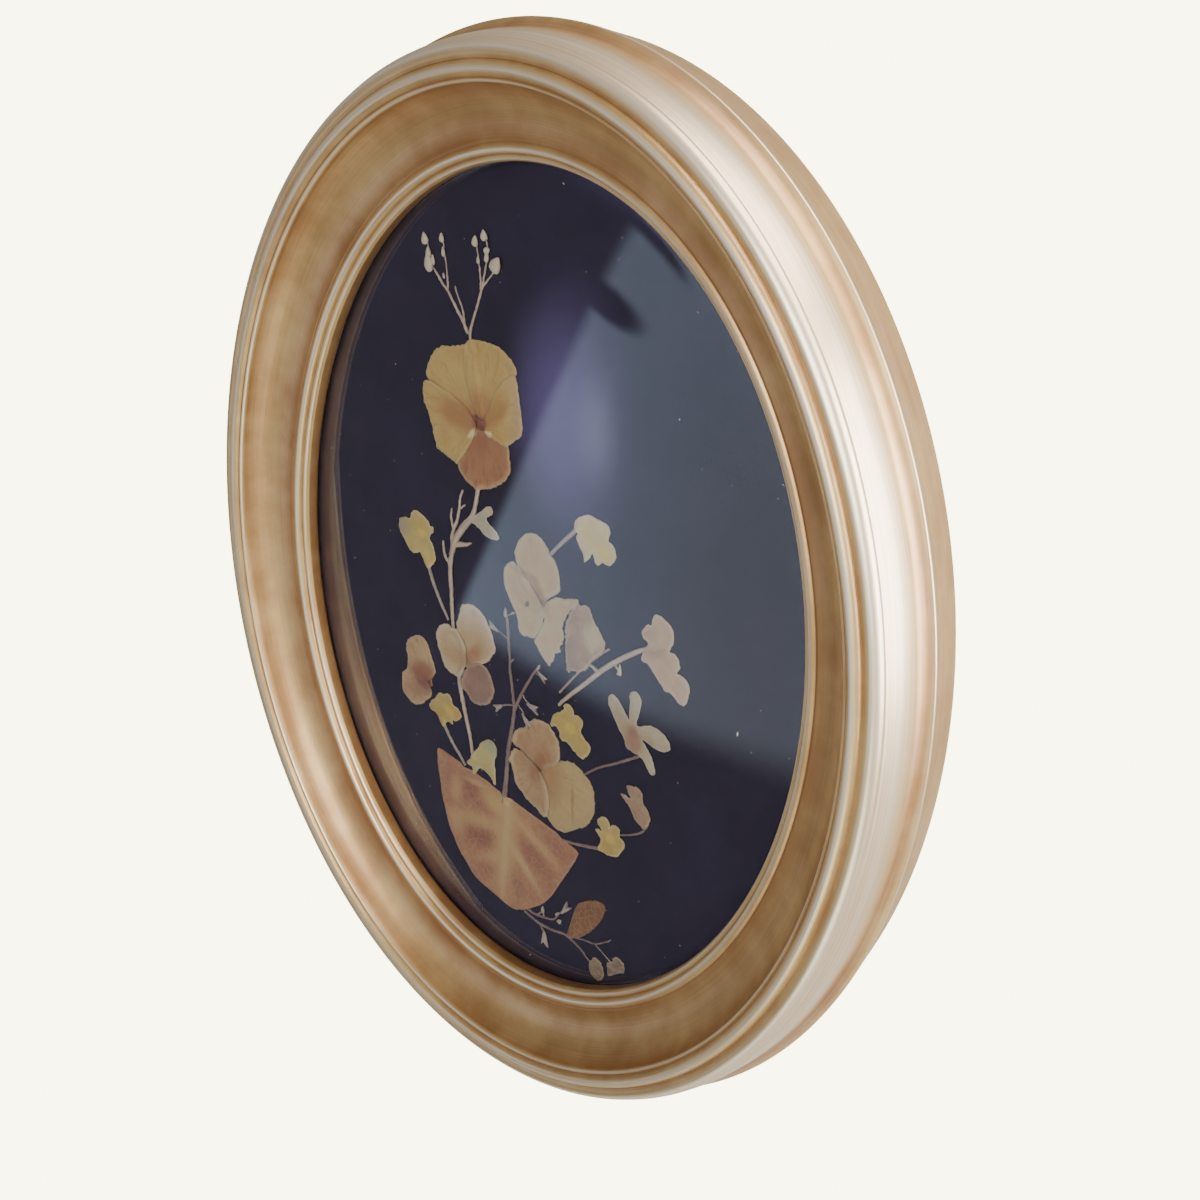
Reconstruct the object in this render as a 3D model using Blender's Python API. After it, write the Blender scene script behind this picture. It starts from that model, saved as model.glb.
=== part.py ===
"""Pressed flower frame: an oval gilt moulding with a domed glass over a velvet panel of pressed flowers.

It hangs upright. X runs to the right, Z up, and the front faces -Y. Sizes below are millimetres.
"""

import math

import bmesh
import bpy
from mathutils import Vector

MM = 0.001

# The oval. Every outline of the frame is this sight oval widened by the same amount all round.
SIGHT_HALF_WIDTH = 95.25
SIGHT_HALF_HEIGHT = 120.65
OVAL_STEPS = 64

# The moulding's section: outward from the sight edge, then forward from the back rim.
THICKNESS = 28.6
SIGHT_LIP = 15.8
GLASS_SEAT = 12.4
REBATE = 3.5
BACK_RIM_OUTER = 29.2
ARRIS_OUT = 32.4
ARRIS_DEPTH = 12.0

# The pack in the rebate: how far in front of the back rim each layer's face lies.
GAP = 0.3
PACK_MARGIN = 3.2
GLASS_THICKNESS = 1.7
GLASS_RISE = 5.5
DOME_MARGIN = -0.5
VELVET_FRONT = 9.4
VELVET_THICKNESS = 0.7
CARD_THICKNESS = 1.2
BOARD_THICKNESS = 2.5

# The pressed specimens: thin leaves laid over one another in layers on the velvet.
LEAF_THICKNESS = 0.3
LAYER_PITCH = LEAF_THICKNESS + GAP
STEM_LAYER, LOW_LAYER, MIDDLE_LAYER, HIGH_LAYER, TOP_LAYER = range(5)

# The fixings at the back.
POINT_LENGTH, POINT_WIDTH, POINT_THICKNESS = 9.0, 5.0, 0.6
HANGER_LENGTH, HANGER_HEIGHT, HANGER_THICKNESS = 44.0, 9.0, 0.8
HANGER_Z = 88.0
HANGER_BOW = 1.3
HANGER_TEETH = 9
NAIL_SPACING = 37.0
NAIL_RADIUS, NAIL_HEAD_RADIUS, NAIL_HEAD_THICKNESS, NAIL_LENGTH = 0.7, 1.7, 0.5, 1.6
NAIL_HOLE_RADIUS = NAIL_RADIUS + GAP
ROUND_STEPS = 16


def clear_scene():
    for found in list(bpy.data.objects):
        bpy.data.objects.remove(found)


def finish(name, colour, roughness, metallic=0.0, transmission=0.0):
    """A Principled material with one colour."""
    material = bpy.data.materials.new(name)
    material.use_nodes = True
    shader = material.node_tree.nodes["Principled BSDF"]
    shader.inputs["Base Color"].default_value = (*colour, 1.0)
    shader.inputs["Roughness"].default_value = roughness
    shader.inputs["Metallic"].default_value = metallic
    shader.inputs["Transmission Weight"].default_value = transmission
    return material


def place(x, z, depth):
    """A point of the frame, from millimetres across, up and in front of the back rim."""
    return Vector((x, THICKNESS / 2 - depth, z)) * MM


def add_piece(name, mesh_builder, material):
    """A named object from a bmesh, with its faces turned outwards."""
    bmesh.ops.recalc_face_normals(mesh_builder, faces=mesh_builder.faces)
    mesh = bpy.data.meshes.new(name)
    mesh_builder.to_mesh(mesh)
    mesh_builder.free()
    mesh.materials.append(material)
    piece = bpy.data.objects.new(name, mesh)
    bpy.context.scene.collection.objects.link(piece)
    return piece


def shade_round(piece, degrees=35):
    piece.data.shade_smooth()
    piece.data.set_sharp_from_angle(angle=math.radians(degrees))


def arc(start, end, rise, steps):
    """Points after start, up to end, on the circular arc that rises from their chord, to its left."""
    chord = Vector(end) - Vector(start)
    half = chord.length / 2
    radius = (half * half + rise * rise) / (2 * abs(rise))
    side = Vector((-chord.y, chord.x)).normalized() * math.copysign(1, rise)
    middle = (Vector(start) + Vector(end)) / 2
    centre = middle - side * (radius - abs(rise))
    first = Vector(start) - centre
    turn = 2 * math.asin(min(1.0, half / radius)) * -math.copysign(1, rise)
    points = []
    for step in range(1, steps + 1):
        angle = turn * step / steps
        cosine, sine = math.cos(angle), math.sin(angle)
        turned = Vector((first.x * cosine - first.y * sine, first.x * sine + first.y * cosine))
        points.append(tuple(centre + turned))
    return points


def oval(margin):
    """Points of the sight oval widened by margin."""
    points = []
    for step in range(OVAL_STEPS):
        angle = 2 * math.pi * step / OVAL_STEPS
        across = (SIGHT_HALF_WIDTH + margin) * math.cos(angle)
        up = (SIGHT_HALF_HEIGHT + margin) * math.sin(angle)
        points.append((across, up))
    return points


def moulding_section():
    """The closed section, as (outward, forward) points: up the sight edge, over the front and back again."""
    section = [(0.0, GLASS_SEAT), (0.0, SIGHT_LIP)]
    section += arc(section[-1], (1.75, 17.0), 0.45, 2)  # inner bead
    section += arc(section[-1], (4.7, 18.1), 0.95, 3)  # outer bead
    section += arc(section[-1], (18.9, 26.0), -2.6, 6)  # cove
    section += [(19.3, 27.1), (20.2, 27.4)]  # fillet and its groove
    section += arc(section[-1], (24.2, 27.1), 1.35, 4)  # crest bead
    section += arc(section[-1], (28.8, 25.0), 1.3, 3)  # shoulder
    section += arc(section[-1], (30.1, 16.5), 0.3, 2)  # upper flank
    section += arc(section[-1], (ARRIS_OUT, ARRIS_DEPTH), -0.7, 3)  # lower flank
    section += [(ARRIS_OUT - 0.1, ARRIS_DEPTH - 0.8), (BACK_RIM_OUTER, 0.0)]
    section += [(REBATE, 0.0), (REBATE, GLASS_SEAT)]
    return section


def add_moulding():
    """The gilt oval frame, its section carried round the sight oval in one piece."""
    builder = bmesh.new()
    rings = []
    for outward, forward in moulding_section():
        rings.append([builder.verts.new(place(x, z, forward)) for x, z in oval(outward)])
    for ring, following in zip(rings, rings[1:] + rings[:1]):
        for step in range(OVAL_STEPS):
            after = (step + 1) % OVAL_STEPS
            builder.faces.new((ring[step], ring[after], following[after], following[step]))
    moulding = add_piece("moulding", builder, finish("gilt", (0.52, 0.36, 0.19), 0.38, 0.75))
    shade_round(moulding, 30)


def dome_sheet(builder, edge_depth, rise):
    """One skin of the glass, a dome with a flat rim round it; returns the points of its edge."""
    top = builder.verts.new(place(0, 0, edge_depth + rise))
    rings = []
    for share in (0.4, 0.7, 0.88, 1.0):
        depth = edge_depth + rise * (1 - share * share)
        ring = [builder.verts.new(place(x * share, z * share, depth)) for x, z in oval(DOME_MARGIN)]
        rings.append(ring)
    rings.append([builder.verts.new(place(x, z, edge_depth)) for x, z in oval(PACK_MARGIN)])
    for step in range(OVAL_STEPS):
        after = (step + 1) % OVAL_STEPS
        builder.faces.new((top, rings[0][step], rings[0][after]))
        for ring, outer in zip(rings, rings[1:]):
            builder.faces.new((ring[step], outer[step], outer[after], ring[after]))
    return rings[-1]


def add_glass():
    """The domed glass, seated against the back of the moulding's lip."""
    builder = bmesh.new()
    front_depth = GLASS_SEAT - GAP
    front = dome_sheet(builder, front_depth, GLASS_RISE)
    back = dome_sheet(builder, front_depth - GLASS_THICKNESS, GLASS_RISE)
    for step in range(OVAL_STEPS):
        after = (step + 1) % OVAL_STEPS
        builder.faces.new((front[step], front[after], back[after], back[step]))
    glass = add_piece("glass", builder, finish("glass", (0.93, 0.96, 0.95), 0.02, 0.0, 1.0))
    shade_round(glass)


def plate(name, outline, front_depth, thickness, material):
    """A flat closed plate with this outline, its front face at front_depth."""
    builder = bmesh.new()
    front = [builder.verts.new(place(x, z, front_depth)) for x, z in outline]
    back = [builder.verts.new(place(x, z, front_depth - thickness)) for x, z in outline]
    builder.faces.new(front)
    builder.faces.new(back)
    for index in range(len(outline)):
        builder.faces.new((front[index - 1], front[index], back[index], back[index - 1]))
    return add_piece(name, builder, material)


def add_backing():
    """The velvet, the card it is mounted on and the board that closes the back; returns the board."""
    depth = VELVET_FRONT
    plate("velvet", oval(PACK_MARGIN), depth, VELVET_THICKNESS, finish("velvet", (0.03, 0.027, 0.05), 0.95))
    depth -= VELVET_THICKNESS + GAP
    plate("mount_card", oval(PACK_MARGIN), depth, CARD_THICKNESS, finish("card", (0.72, 0.68, 0.58), 0.85))
    depth -= CARD_THICKNESS + GAP
    hardboard = finish("hardboard", (0.33, 0.2, 0.11), 0.8)
    return plate("backing_board", oval(PACK_MARGIN), depth, BOARD_THICKNESS, hardboard)


def board_back_depth():
    return VELVET_FRONT - VELVET_THICKNESS - CARD_THICKNESS - BOARD_THICKNESS - 2 * GAP


def add_points():
    """Four flat glazier's points that hold the board in, their outer halves hidden in the wood."""
    reach_across = SIGHT_HALF_WIDTH + REBATE - GAP
    reach_up = SIGHT_HALF_HEIGHT + REBATE - GAP
    sides = {"right": (0, reach_across), "top": (1, reach_up), "left": (2, reach_across), "bottom": (3, reach_up)}
    for side, (quarter, reach) in sides.items():
        arrow = [
            (reach, POINT_WIDTH / 2),
            (reach - POINT_LENGTH + 3, POINT_WIDTH / 2),
            (reach - POINT_LENGTH, 0.8),
            (reach - POINT_LENGTH, -0.8),
            (reach - POINT_LENGTH + 3, -POINT_WIDTH / 2),
            (reach, -POINT_WIDTH / 2),
        ]
        cosine, sine = (1, 0, -1, 0)[quarter], (0, 1, 0, -1)[quarter]
        outline = [(x * cosine - z * sine, x * sine + z * cosine) for x, z in arrow]
        depth = board_back_depth() - GAP
        plate(f"point_{side}", outline, depth, POINT_THICKNESS, finish(f"steel_{side}", (0.5, 0.5, 0.5), 0.4, 1.0))


def cut(piece, cutter):
    """Takes the cutter's shape out of the piece."""
    cutter.hide_render = True
    cutter.display_type = "WIRE"
    boolean = piece.modifiers.new("Cut", "BOOLEAN")
    boolean.operation = "DIFFERENCE"
    boolean.object = cutter


def disc_ring(builder, x, z, radius, depth):
    ring = []
    for step in range(ROUND_STEPS):
        angle = 2 * math.pi * step / ROUND_STEPS
        ring.append(builder.verts.new(place(x + radius * math.cos(angle), z + radius * math.sin(angle), depth)))
    return ring


def turned(name, x, z, radii_and_depths, material):
    """A solid turned about an axis along Y through (x, z)."""
    builder = bmesh.new()
    rings = [disc_ring(builder, x, z, radius, depth) for radius, depth in radii_and_depths]
    builder.faces.new(rings[0])
    builder.faces.new(rings[-1])
    for ring, following in zip(rings, rings[1:]):
        for step in range(ROUND_STEPS):
            after = (step + 1) % ROUND_STEPS
            builder.faces.new((ring[step], ring[after], following[after], following[step]))
    return add_piece(name, builder, material)


def hanger_bow(x):
    """How far the strip stands off the board: flat at the nails, bowed out between them."""
    flat_from = NAIL_SPACING / 2 - 3
    if abs(x) >= flat_from:
        return 0.0
    return HANGER_BOW * (1 + math.cos(math.pi * x / flat_from)) / 2


def add_hanger(board):
    """A toothed strip nailed to the board, inside the recess, and its two nails."""
    steps = 2 * HANGER_TEETH
    tooth_span = NAIL_SPACING - 8
    near = board_back_depth() - GAP
    crossings = [-HANGER_LENGTH / 2, -NAIL_SPACING / 2 + 3]
    crossings += [tooth_span * (step / steps - 0.5) for step in range(steps + 1)]
    crossings += [NAIL_SPACING / 2 - 3, HANGER_LENGTH / 2]
    builder = bmesh.new()
    columns = []
    for index, x in enumerate(crossings):
        toothed = 2 <= index < len(crossings) - 2
        foot = 1.2 if toothed and index % 2 else 0.0
        front = near - hanger_bow(x)
        corners = [(foot, front), (HANGER_HEIGHT, front)]
        corners += [(up, depth - HANGER_THICKNESS) for up, depth in reversed(corners)]
        columns.append([builder.verts.new(place(x, HANGER_Z + up, depth)) for up, depth in corners])
    builder.faces.new(columns[0])
    builder.faces.new(columns[-1])
    for column, following in zip(columns, columns[1:]):
        for corner in range(4):
            after = (corner + 1) % 4
            builder.faces.new((column[corner], column[after], following[after], following[corner]))
    hanger = add_piece("hanger", builder, finish("hanger_steel", (0.55, 0.52, 0.45), 0.35, 1.0))
    for side, sign in (("left", -1), ("right", 1)):
        x, z = sign * NAIL_SPACING / 2, HANGER_Z + HANGER_HEIGHT / 2
        head_front = near - HANGER_THICKNESS - GAP
        tip = board_back_depth() + NAIL_LENGTH
        section = [
            (NAIL_HEAD_RADIUS * 0.7, head_front - NAIL_HEAD_THICKNESS),
            (NAIL_HEAD_RADIUS, head_front - NAIL_HEAD_THICKNESS * 0.4),
            (NAIL_HEAD_RADIUS, head_front),
            (NAIL_RADIUS, head_front),
            (NAIL_RADIUS, tip - 0.7),
            (NAIL_RADIUS * 0.3, tip),
        ]
        turned(f"hanger_nail_{side}", x, z, section, finish(f"nail_{side}", (0.6, 0.58, 0.5), 0.35, 1.0))
        hole = [(NAIL_HOLE_RADIUS, -1.0), (NAIL_HOLE_RADIUS, tip + GAP)]
        cutter = turned(f"hole_{side}", x, z, hole, finish(f"hole_{side}", (0.5, 0.5, 0.5), 0.5))
        cut(hanger, cutter)
        cut(board, cutter)


def layer_front(layer):
    return VELVET_FRONT + GAP + LEAF_THICKNESS + layer * LAYER_PITCH


def petal(name, layer, colour, outline):
    """A pressed petal, flower or leaf: a thin plate on its layer."""
    plate(name, outline, layer_front(layer), LEAF_THICKNESS, finish(name, colour, 0.75))


def ribbon(path, width, twigs=()):
    """The outline round a stem, left side out and right side back, with its twigs.

    Each twig is (index on the path, "left" or "right", its own path, its width).
    """
    points = [Vector(point) for point in path]
    sides = {"left": [], "right": []}
    for index, point in enumerate(points):
        heading = (points[min(index + 1, len(points) - 1)] - points[max(index - 1, 0)]).normalized()
        across = Vector((-heading.y, heading.x)) * width / 2
        sides["left"].append([tuple(point + across)])
        sides["right"].append([tuple(point - across)])
    for index, side, twig_path, twig_width in twigs:
        twig = ribbon([path[index], *twig_path], twig_width)
        sides[side][index] = twig[1:-1]
    outline = [point for group in sides["left"] for point in group]
    outline += [point for group in reversed(sides["right"]) for point in group]
    return outline


def stem(name, colour, path, width, twigs=(), layer=STEM_LAYER):
    """A pressed stem with its twigs."""
    petal(name, layer, colour, ribbon(path, width, twigs))


# Colours of the dried specimens.
STRAW = (0.62, 0.47, 0.27)
RUSSET = (0.5, 0.28, 0.15)
PEACH = (0.68, 0.52, 0.38)
MAUVE = (0.36, 0.25, 0.22)
CREAM = (0.74, 0.66, 0.46)
BUTTER = (0.66, 0.56, 0.3)
TWIG = (0.5, 0.42, 0.38)
BUD_BROWN = (0.48, 0.33, 0.22)


def add_yellow_pansy():
    """The large straw-coloured pansy at the top left: five petals round one throat."""
    upper_left = [
        (-39.9, 60.1), (-42.1, 58.4), (-47.5, 55.9), (-50.2, 54.3), (-52.3, 52.1), (-53.9, 47.9),
        (-54.8, 43.1), (-47, 42.6), (-38, 41.8), (-30.6, 41.0), (-30.2, 44), (-34, 53),
    ]
    petal("yellow_pansy_upper_left", LOW_LAYER, STRAW, upper_left)
    upper_right = [
        (-38.5, 61.9), (-40.3, 60.2), (-40, 54), (-35.5, 46), (-30.3, 41.4), (-28, 45), (-24, 52),
        (-20.7, 60.5), (-20.2, 61.1), (-20.9, 62.1), (-22.6, 63.2), (-25.5, 64.3), (-28.3, 64.9), (-31.5, 64.4),
        (-35.0, 63.2),
    ]
    petal("yellow_pansy_upper_right", MIDDLE_LAYER, STRAW, upper_right)
    side_left = [
        (-30.6, 40.6), (-38, 43.2), (-47, 43.9), (-54.6, 43.2), (-54.7, 39.9), (-53.9, 36.7), (-51.9, 34.5),
        (-49.9, 32.0), (-46.8, 26.5), (-46.0, 25.1), (-41.4, 25.1), (-38.5, 25.4), (-37.1, 25.1), (-35, 29),
        (-32.6, 34.5),
    ]
    petal("yellow_pansy_side_left", HIGH_LAYER, STRAW, side_left)
    side_right = [
        (-29.6, 40.2), (-22.5, 39.0), (-19.3, 39.9), (-18.1, 41.4), (-15.1, 45.0), (-14.6, 46.3), (-15.7, 50.3),
        (-18.3, 54.9), (-19.7, 59.2), (-21.2, 60.4), (-24.5, 57), (-27.2, 50),
    ]
    petal("yellow_pansy_side_right", HIGH_LAYER, STRAW, side_right)
    lower = [
        (-30.2, 39.6), (-33.4, 37), (-36.5, 31), (-37.3, 26), (-36.0, 23.7), (-34.4, 22.6), (-32.5, 21.6),
        (-29.3, 21.8), (-26.4, 22.4), (-24.8, 23.8), (-22.6, 25.1), (-20.4, 26.9), (-17.5, 31.0), (-17.0, 33.6),
        (-18.3, 38.3), (-19.6, 40.4), (-25, 40.6),
    ]
    petal("yellow_pansy_lower", MIDDLE_LAYER, RUSSET, lower)


def add_top_sprig():
    """The bare twig over the pansy, split at its fork."""
    left_path = [(-39.9, 63.2), (-42.4, 65.5), (-46.2, 68.3), (-49.9, 71.1), (-52.1, 72.0), (-54.7, 73.6), (-57, 75)]
    left_twigs = [
        (1, "right", [(-43.4, 68.6), (-45.6, 70.9), (-47.4, 72.7)], 0.7),
        (3, "right", [(-50.7, 74.4), (-51.8, 77.4), (-53.2, 80.8)], 0.7),
    ]
    stem("top_sprig_left", TWIG, left_path, 1.0, left_twigs)
    right_path = [(-38.4, 61.0), (-39.2, 63.6), (-38.9, 66.9), (-38.1, 71.7), (-37.2, 77.6), (-37.1, 80.9), (-36.9, 85.5)]
    right_twigs = [
        (4, "left", [(-38.4, 79.8), (-39.9, 83.8), (-41.6, 87.6)], 0.7),
        (4, "right", [(-34.9, 81.4), (-33.2, 84.6)], 0.8),
    ]
    stem("top_sprig_right", TWIG, right_path, 1.0, right_twigs)


def add_tall_stem():
    """The long stem under the yellow pansy, its side twig and the floret beside it."""
    path = [
        (-27.5, 23), (-27.6, 17.1), (-28.0, 13), (-31.0, 7.5), (-33.4, 1.3), (-33.9, -6.3), (-32.0, -14.6),
        (-30.0, -22.8), (-29.0, -26),
    ]
    twigs = [
        (4, "left", [(-31.4, 2.0), (-27.2, 4.3)], 1.6),
        (5, "right", [(-36.5, -5.4), (-38.2, -2.3)], 1.1),
    ]
    stem("tall_stem", TWIG, path, 1.5, twigs)
    fork_path = [(-35.2, 2.5), (-34.6, 5.4), (-33.9, 8.6), (-33.8, 13.0), (-34.1, 15.4), (-33.6, 18.0)]
    fork_twigs = [(1, "left", [(-36.6, 8), (-36.7, 9.9)], 1.1), (3, "right", [(-31.6, 14.6)], 0.9)]
    stem("tall_stem_fork", TWIG, fork_path, 1.1, fork_twigs)
    floret = [
        (-28.3, 11.8), (-25.5, 15.7), (-23.1, 18.8), (-21.9, 19.7), (-20.9, 18.3), (-21.7, 16.8), (-23.6, 15.0),
        (-20.0, 13.7), (-17.6, 13.0), (-16.4, 12.1), (-18.3, 10.9), (-20.7, 10.1), (-25.2, 10.6),
    ]
    petal("pale_floret", LOW_LAYER, CREAM, floret)


def add_cream_flower():
    outline = [
        (-53.4, -0.4), (-52.0, 1.6), (-50.3, 2.1), (-46.2, 1.4), (-44.4, 0.2), (-43.2, 0.9), (-43.1, -0.8),
        (-44.8, -3.5), (-42.0, -5.3), (-40.3, -8.4), (-41.2, -10.8), (-42.5, -13.2), (-44.4, -12.2), (-47.0, -9.7),
        (-48.2, -11.1), (-50.6, -12.2), (-53.0, -11.3), (-53.4, -9.9), (-55.8, -9.2), (-57.7, -7.3), (-57.9, -5.3),
        (-56.8, -3.2), (-52.5, -2.0),
    ]
    petal("cream_flower", LOW_LAYER, CREAM, outline)
    path = [(-43.8, -11.6), (-40.0, -16.3), (-37.2, -19.4), (-34.5, -22.1), (-31.6, -24.6)]
    stem("cream_flower_stem", TWIG, path, 1.2)


def add_viola():
    """The peach viola left of the middle, with its mauve lower petal."""
    upper = [
        (-28.3, -24.5), (-27.7, -20.7), (-27.5, -16.9), (-25.2, -15.0), (-22.1, -14.0), (-19.1, -14.3),
        (-16.8, -15.5), (-12.2, -20.3), (-11.4, -22.6), (-12.2, -25.3), (-14.9, -29.7), (-19.6, -33.2), (-24, -30),
    ]
    petal("viola_upper", LOW_LAYER, PEACH, upper)
    side = [
        (-21.4, -33.7), (-22, -29), (-27, -25.2), (-29.4, -25.3), (-32.9, -26.8), (-35.2, -29.1), (-36.2, -32.2),
        (-35.2, -34.9), (-31.3, -39.9), (-29.4, -41.0), (-27.1, -41.1), (-24.4, -40.4), (-22.6, -38),
    ]
    petal("viola_side", HIGH_LAYER, PEACH, side)
    lower = [
        (-20.6, -33.5), (-17.6, -30.7), (-14.9, -29.9), (-12.2, -31.4), (-9.9, -34.1), (-9.1, -36.4), (-9.7, -39.5),
        (-11.4, -42.5), (-14.1, -44.1), (-16.8, -44.8), (-19.5, -43.7), (-21.8, -42.1), (-22.5, -40.2),
    ]
    petal("viola_lower", MIDDLE_LAYER, MAUVE, lower)
    path = [(-22.4, -36.5), (-23.4, -40.6), (-19.9, -48.3), (-15.3, -57.1), (-13.0, -62.8)]
    stem("viola_stem", TWIG, path, 1.6)


def add_side_viola():
    """The viola at the lower left, seen from the side."""
    upper = [
        (-48.2, -42.9), (-46.3, -40.2), (-44.3, -38.1), (-41.7, -37.4), (-39.0, -37.4), (-38.0, -39.9),
        (-35.9, -41.8), (-34.0, -45.2), (-35.2, -48.3), (-36.7, -50.6), (-41, -51.4), (-46.4, -50.4), (-46.6, -47.5),
    ]
    petal("side_viola_upper", MIDDLE_LAYER, PEACH, upper)
    lower = [
        (-46.2, -49.4), (-46.5, -52.5), (-48.0, -55.2), (-47.2, -58.6), (-47.0, -60.9), (-44.7, -62.0),
        (-40.5, -62.2), (-37.8, -60.1), (-34.8, -55.5), (-34.2, -53.2), (-35.6, -49.9), (-40.5, -49.6),
    ]
    petal("side_viola_lower", LOW_LAYER, PEACH, lower)


def add_left_yellow_flower():
    outline = [
        (-34.8, -58.8), (-34.0, -56.3), (-32.1, -54.0), (-31.5, -51.5), (-29.0, -50.6), (-26.6, -48.5),
        (-24.6, -51.3), (-22.5, -50.9), (-20.4, -52.5), (-21.0, -54.4), (-22.7, -56.5), (-24.4, -55.6),
        (-23.3, -58.2), (-25.6, -57.7), (-26.7, -60.5), (-28.3, -61.1), (-31.0, -58.6), (-32.9, -59.2),
    ]
    petal("left_yellow_flower", HIGH_LAYER, BUTTER, outline)
    path = [(-27.8, -59.6), (-24.4, -62.4), (-21.4, -64.7), (-18.3, -66.3), (-15.5, -68.2)]
    stem("left_yellow_flower_stem", TWIG, path, 1.3)


def add_green_flower():
    """The small trumpet that overlaps the rim of the leaf."""
    outline = [
        (-9.5, -54.4), (-8.0, -52.7), (-5.7, -52.5), (-4.0, -54.0), (-4.2, -56.7), (-4.5, -59.0), (-3.0, -61.3),
        (-1.9, -66.6), (-4.2, -64.2), (-8.0, -64.0), (-9.9, -64.7), (-11.1, -68.9), (-12.6, -66.1), (-15.3, -67.0),
        (-13.0, -62.8), (-11.4, -58.2), (-10.3, -55.9),
    ]
    petal("green_flower", MIDDLE_LAYER, BUTTER, outline)


def add_middle_sprig():
    """The branching sprig that stands in the middle of the leaf, split at its fork."""
    stem("middle_sprig_stem", TWIG, [(2.6, -69), (2.0, -61.7), (0.6, -50.2), (0.4, -41), (-0.1, -35.6)], 1.8)
    left_twigs = [(0, "left", [(-4.5, -37.4), (-6.2, -39.2)], 0.7), (4, "left", [(-10.2, -15.7), (-12.8, -15.5)], 0.7)]
    left_path = [(-0.9, -34.2), (-2.6, -29.1), (-4.5, -24.5), (-5.2, -21.5), (-7.0, -15.7), (-8.4, -11.0), (-9.7, -8.5)]
    stem("middle_sprig_left", TWIG, left_path, 1.1, left_twigs)
    right_path = [(0.7, -34.2), (1.6, -29.1), (3.1, -24.0), (4.6, -19.6), (5.9, -17.1)]
    stem("middle_sprig_right", TWIG, right_path, 1.1, [(3, "right", [(8.0, -19.6)], 0.9)])


def add_peach_pansy():
    """The pale pansy in the middle, with its torn petal and the crumpled one beside it."""
    upper = [
        (-9.7, 9.6), (-10.2, 13.0), (-9.3, 16.3), (-7.2, 19.3), (-4.6, 21.0), (-1.7, 21.0), (0.4, 20.1), (3.4, 18.4),
        (5.9, 15.9), (7.4, 13.0), (8.1, 9.8), (6.7, 7.9), (2.6, 2.6), (-5, 4),
    ]
    petal("peach_pansy_upper", LOW_LAYER, PEACH, upper)
    lower = [
        (-9.7, 9.2), (-11.8, 7.5), (-13.3, 3.7), (-12.2, 0.3), (-9.9, -2.6), (-7.6, -5.1), (-5.1, -6.4),
        (-4.4, -9.8), (-3.4, -11.1), (-1.3, -11.0), (1.7, -9.8), (3.6, -6.8), (4.2, -3.5), (4.4, 1), (1, 5),
    ]
    petal("peach_pansy_lower", MIDDLE_LAYER, PEACH, lower)
    torn = [
        (3.4, 2), (6.2, 6.4), (10.1, 8.8), (13.3, 10.2), (15.1, 12.1), (15.9, 10.4), (13.0, 6.5), (12.3, 3.5),
        (10.8, 0.5), (12.8, -1.5), (13.0, -3.9), (11.8, -5.6), (12.6, -7.5), (10.3, -9.3), (10.1, -12.7),
        (9.3, -14.4), (5.9, -12.1), (2.3, -10.6), (4.2, -5.1), (5.0, -0.5),
    ]
    petal("peach_pansy_torn", HIGH_LAYER, PEACH, torn)
    crumpled = [
        (16.4, 11.1), (19.4, 11.5), (21.2, 10.0), (25.5, 6.6), (27.6, 4.5), (27.4, 2.9), (25.5, -0.1), (24.0, -3.5),
        (21.9, -7.7), (20.2, -8.7), (18.1, -9.1), (16.6, -12.1), (15.1, -7.7), (14.1, -3.9), (12.6, 1.6), (13.0, 5.0),
        (13.9, 8.8),
    ]
    petal("crumpled_petal", MIDDLE_LAYER, BUD_BROWN, crumpled)


def add_white_flower():
    outline = [
        (8.8, 31.7), (9.7, 34.0), (12.2, 36.5), (14.7, 36.9), (18.9, 37.6), (20.8, 36.5), (21.0, 34.4), (20.6, 33.0),
        (22.7, 33.2), (24.6, 31.5), (24.4, 29.0), (22.3, 26.4), (20.2, 26.8), (19.4, 24.3), (17.9, 26.0), (16.8, 27.5),
        (15.8, 25.2), (14.5, 22.6), (14.1, 25.2), (11.8, 26.6), (10.3, 28.5), (11.2, 30.4), (9.7, 30.8),
    ]
    petal("white_flower", LOW_LAYER, CREAM, outline)
    stem("white_flower_stem", TWIG, [(10.6, 31.4), (7.1, 26.0), (5.0, 22.6), (3.1, 19.3), (1.9, 17)], 1.3)


def add_right_spray():
    """The forked spray at the right and the peach flower on it."""
    path = [
        (42.5, 13.2), (39.7, 11.2), (37.5, 8.9), (32.2, 2.6), (27.9, -3.4), (23.3, -10.9), (17.6, -19.9), (15.8, -23.4),
    ]
    stem("spray_stem", TWIG, path, 1.5, [(3, "left", [(34.3, -0.4)], 1.2)])
    stem("spray_thin_stem", TWIG, [(28.8, 4.2), (26.1, 0.7), (22.4, -5.0), (19.4, -10.6), (15.0, -19.6)], 0.8)
    flower = [
        (40.3, 22.8), (42.5, 23.4), (45.2, 23.4), (47.1, 22.4), (48.3, 20.4), (48.1, 18.0), (47.4, 15.2), (49.8, 16.4),
        (51.3, 15.1), (51.9, 13.1), (51.1, 11.1), (53.4, 11.7), (55.8, 10.7), (56.7, 8.8), (56.9, 6.4), (55.8, 3.2),
        (51.0, 5.3), (49.8, 4.1), (46.8, 5.8), (41.8, 8.6), (39.5, 7.4), (40.0, 10.7), (41.3, 14.1), (38.2, 14.4),
        (37.9, 15.7), (39.2, 19.2), (40.7, 19.0),
    ]
    petal("peach_flower", LOW_LAYER, PEACH, flower)


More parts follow.
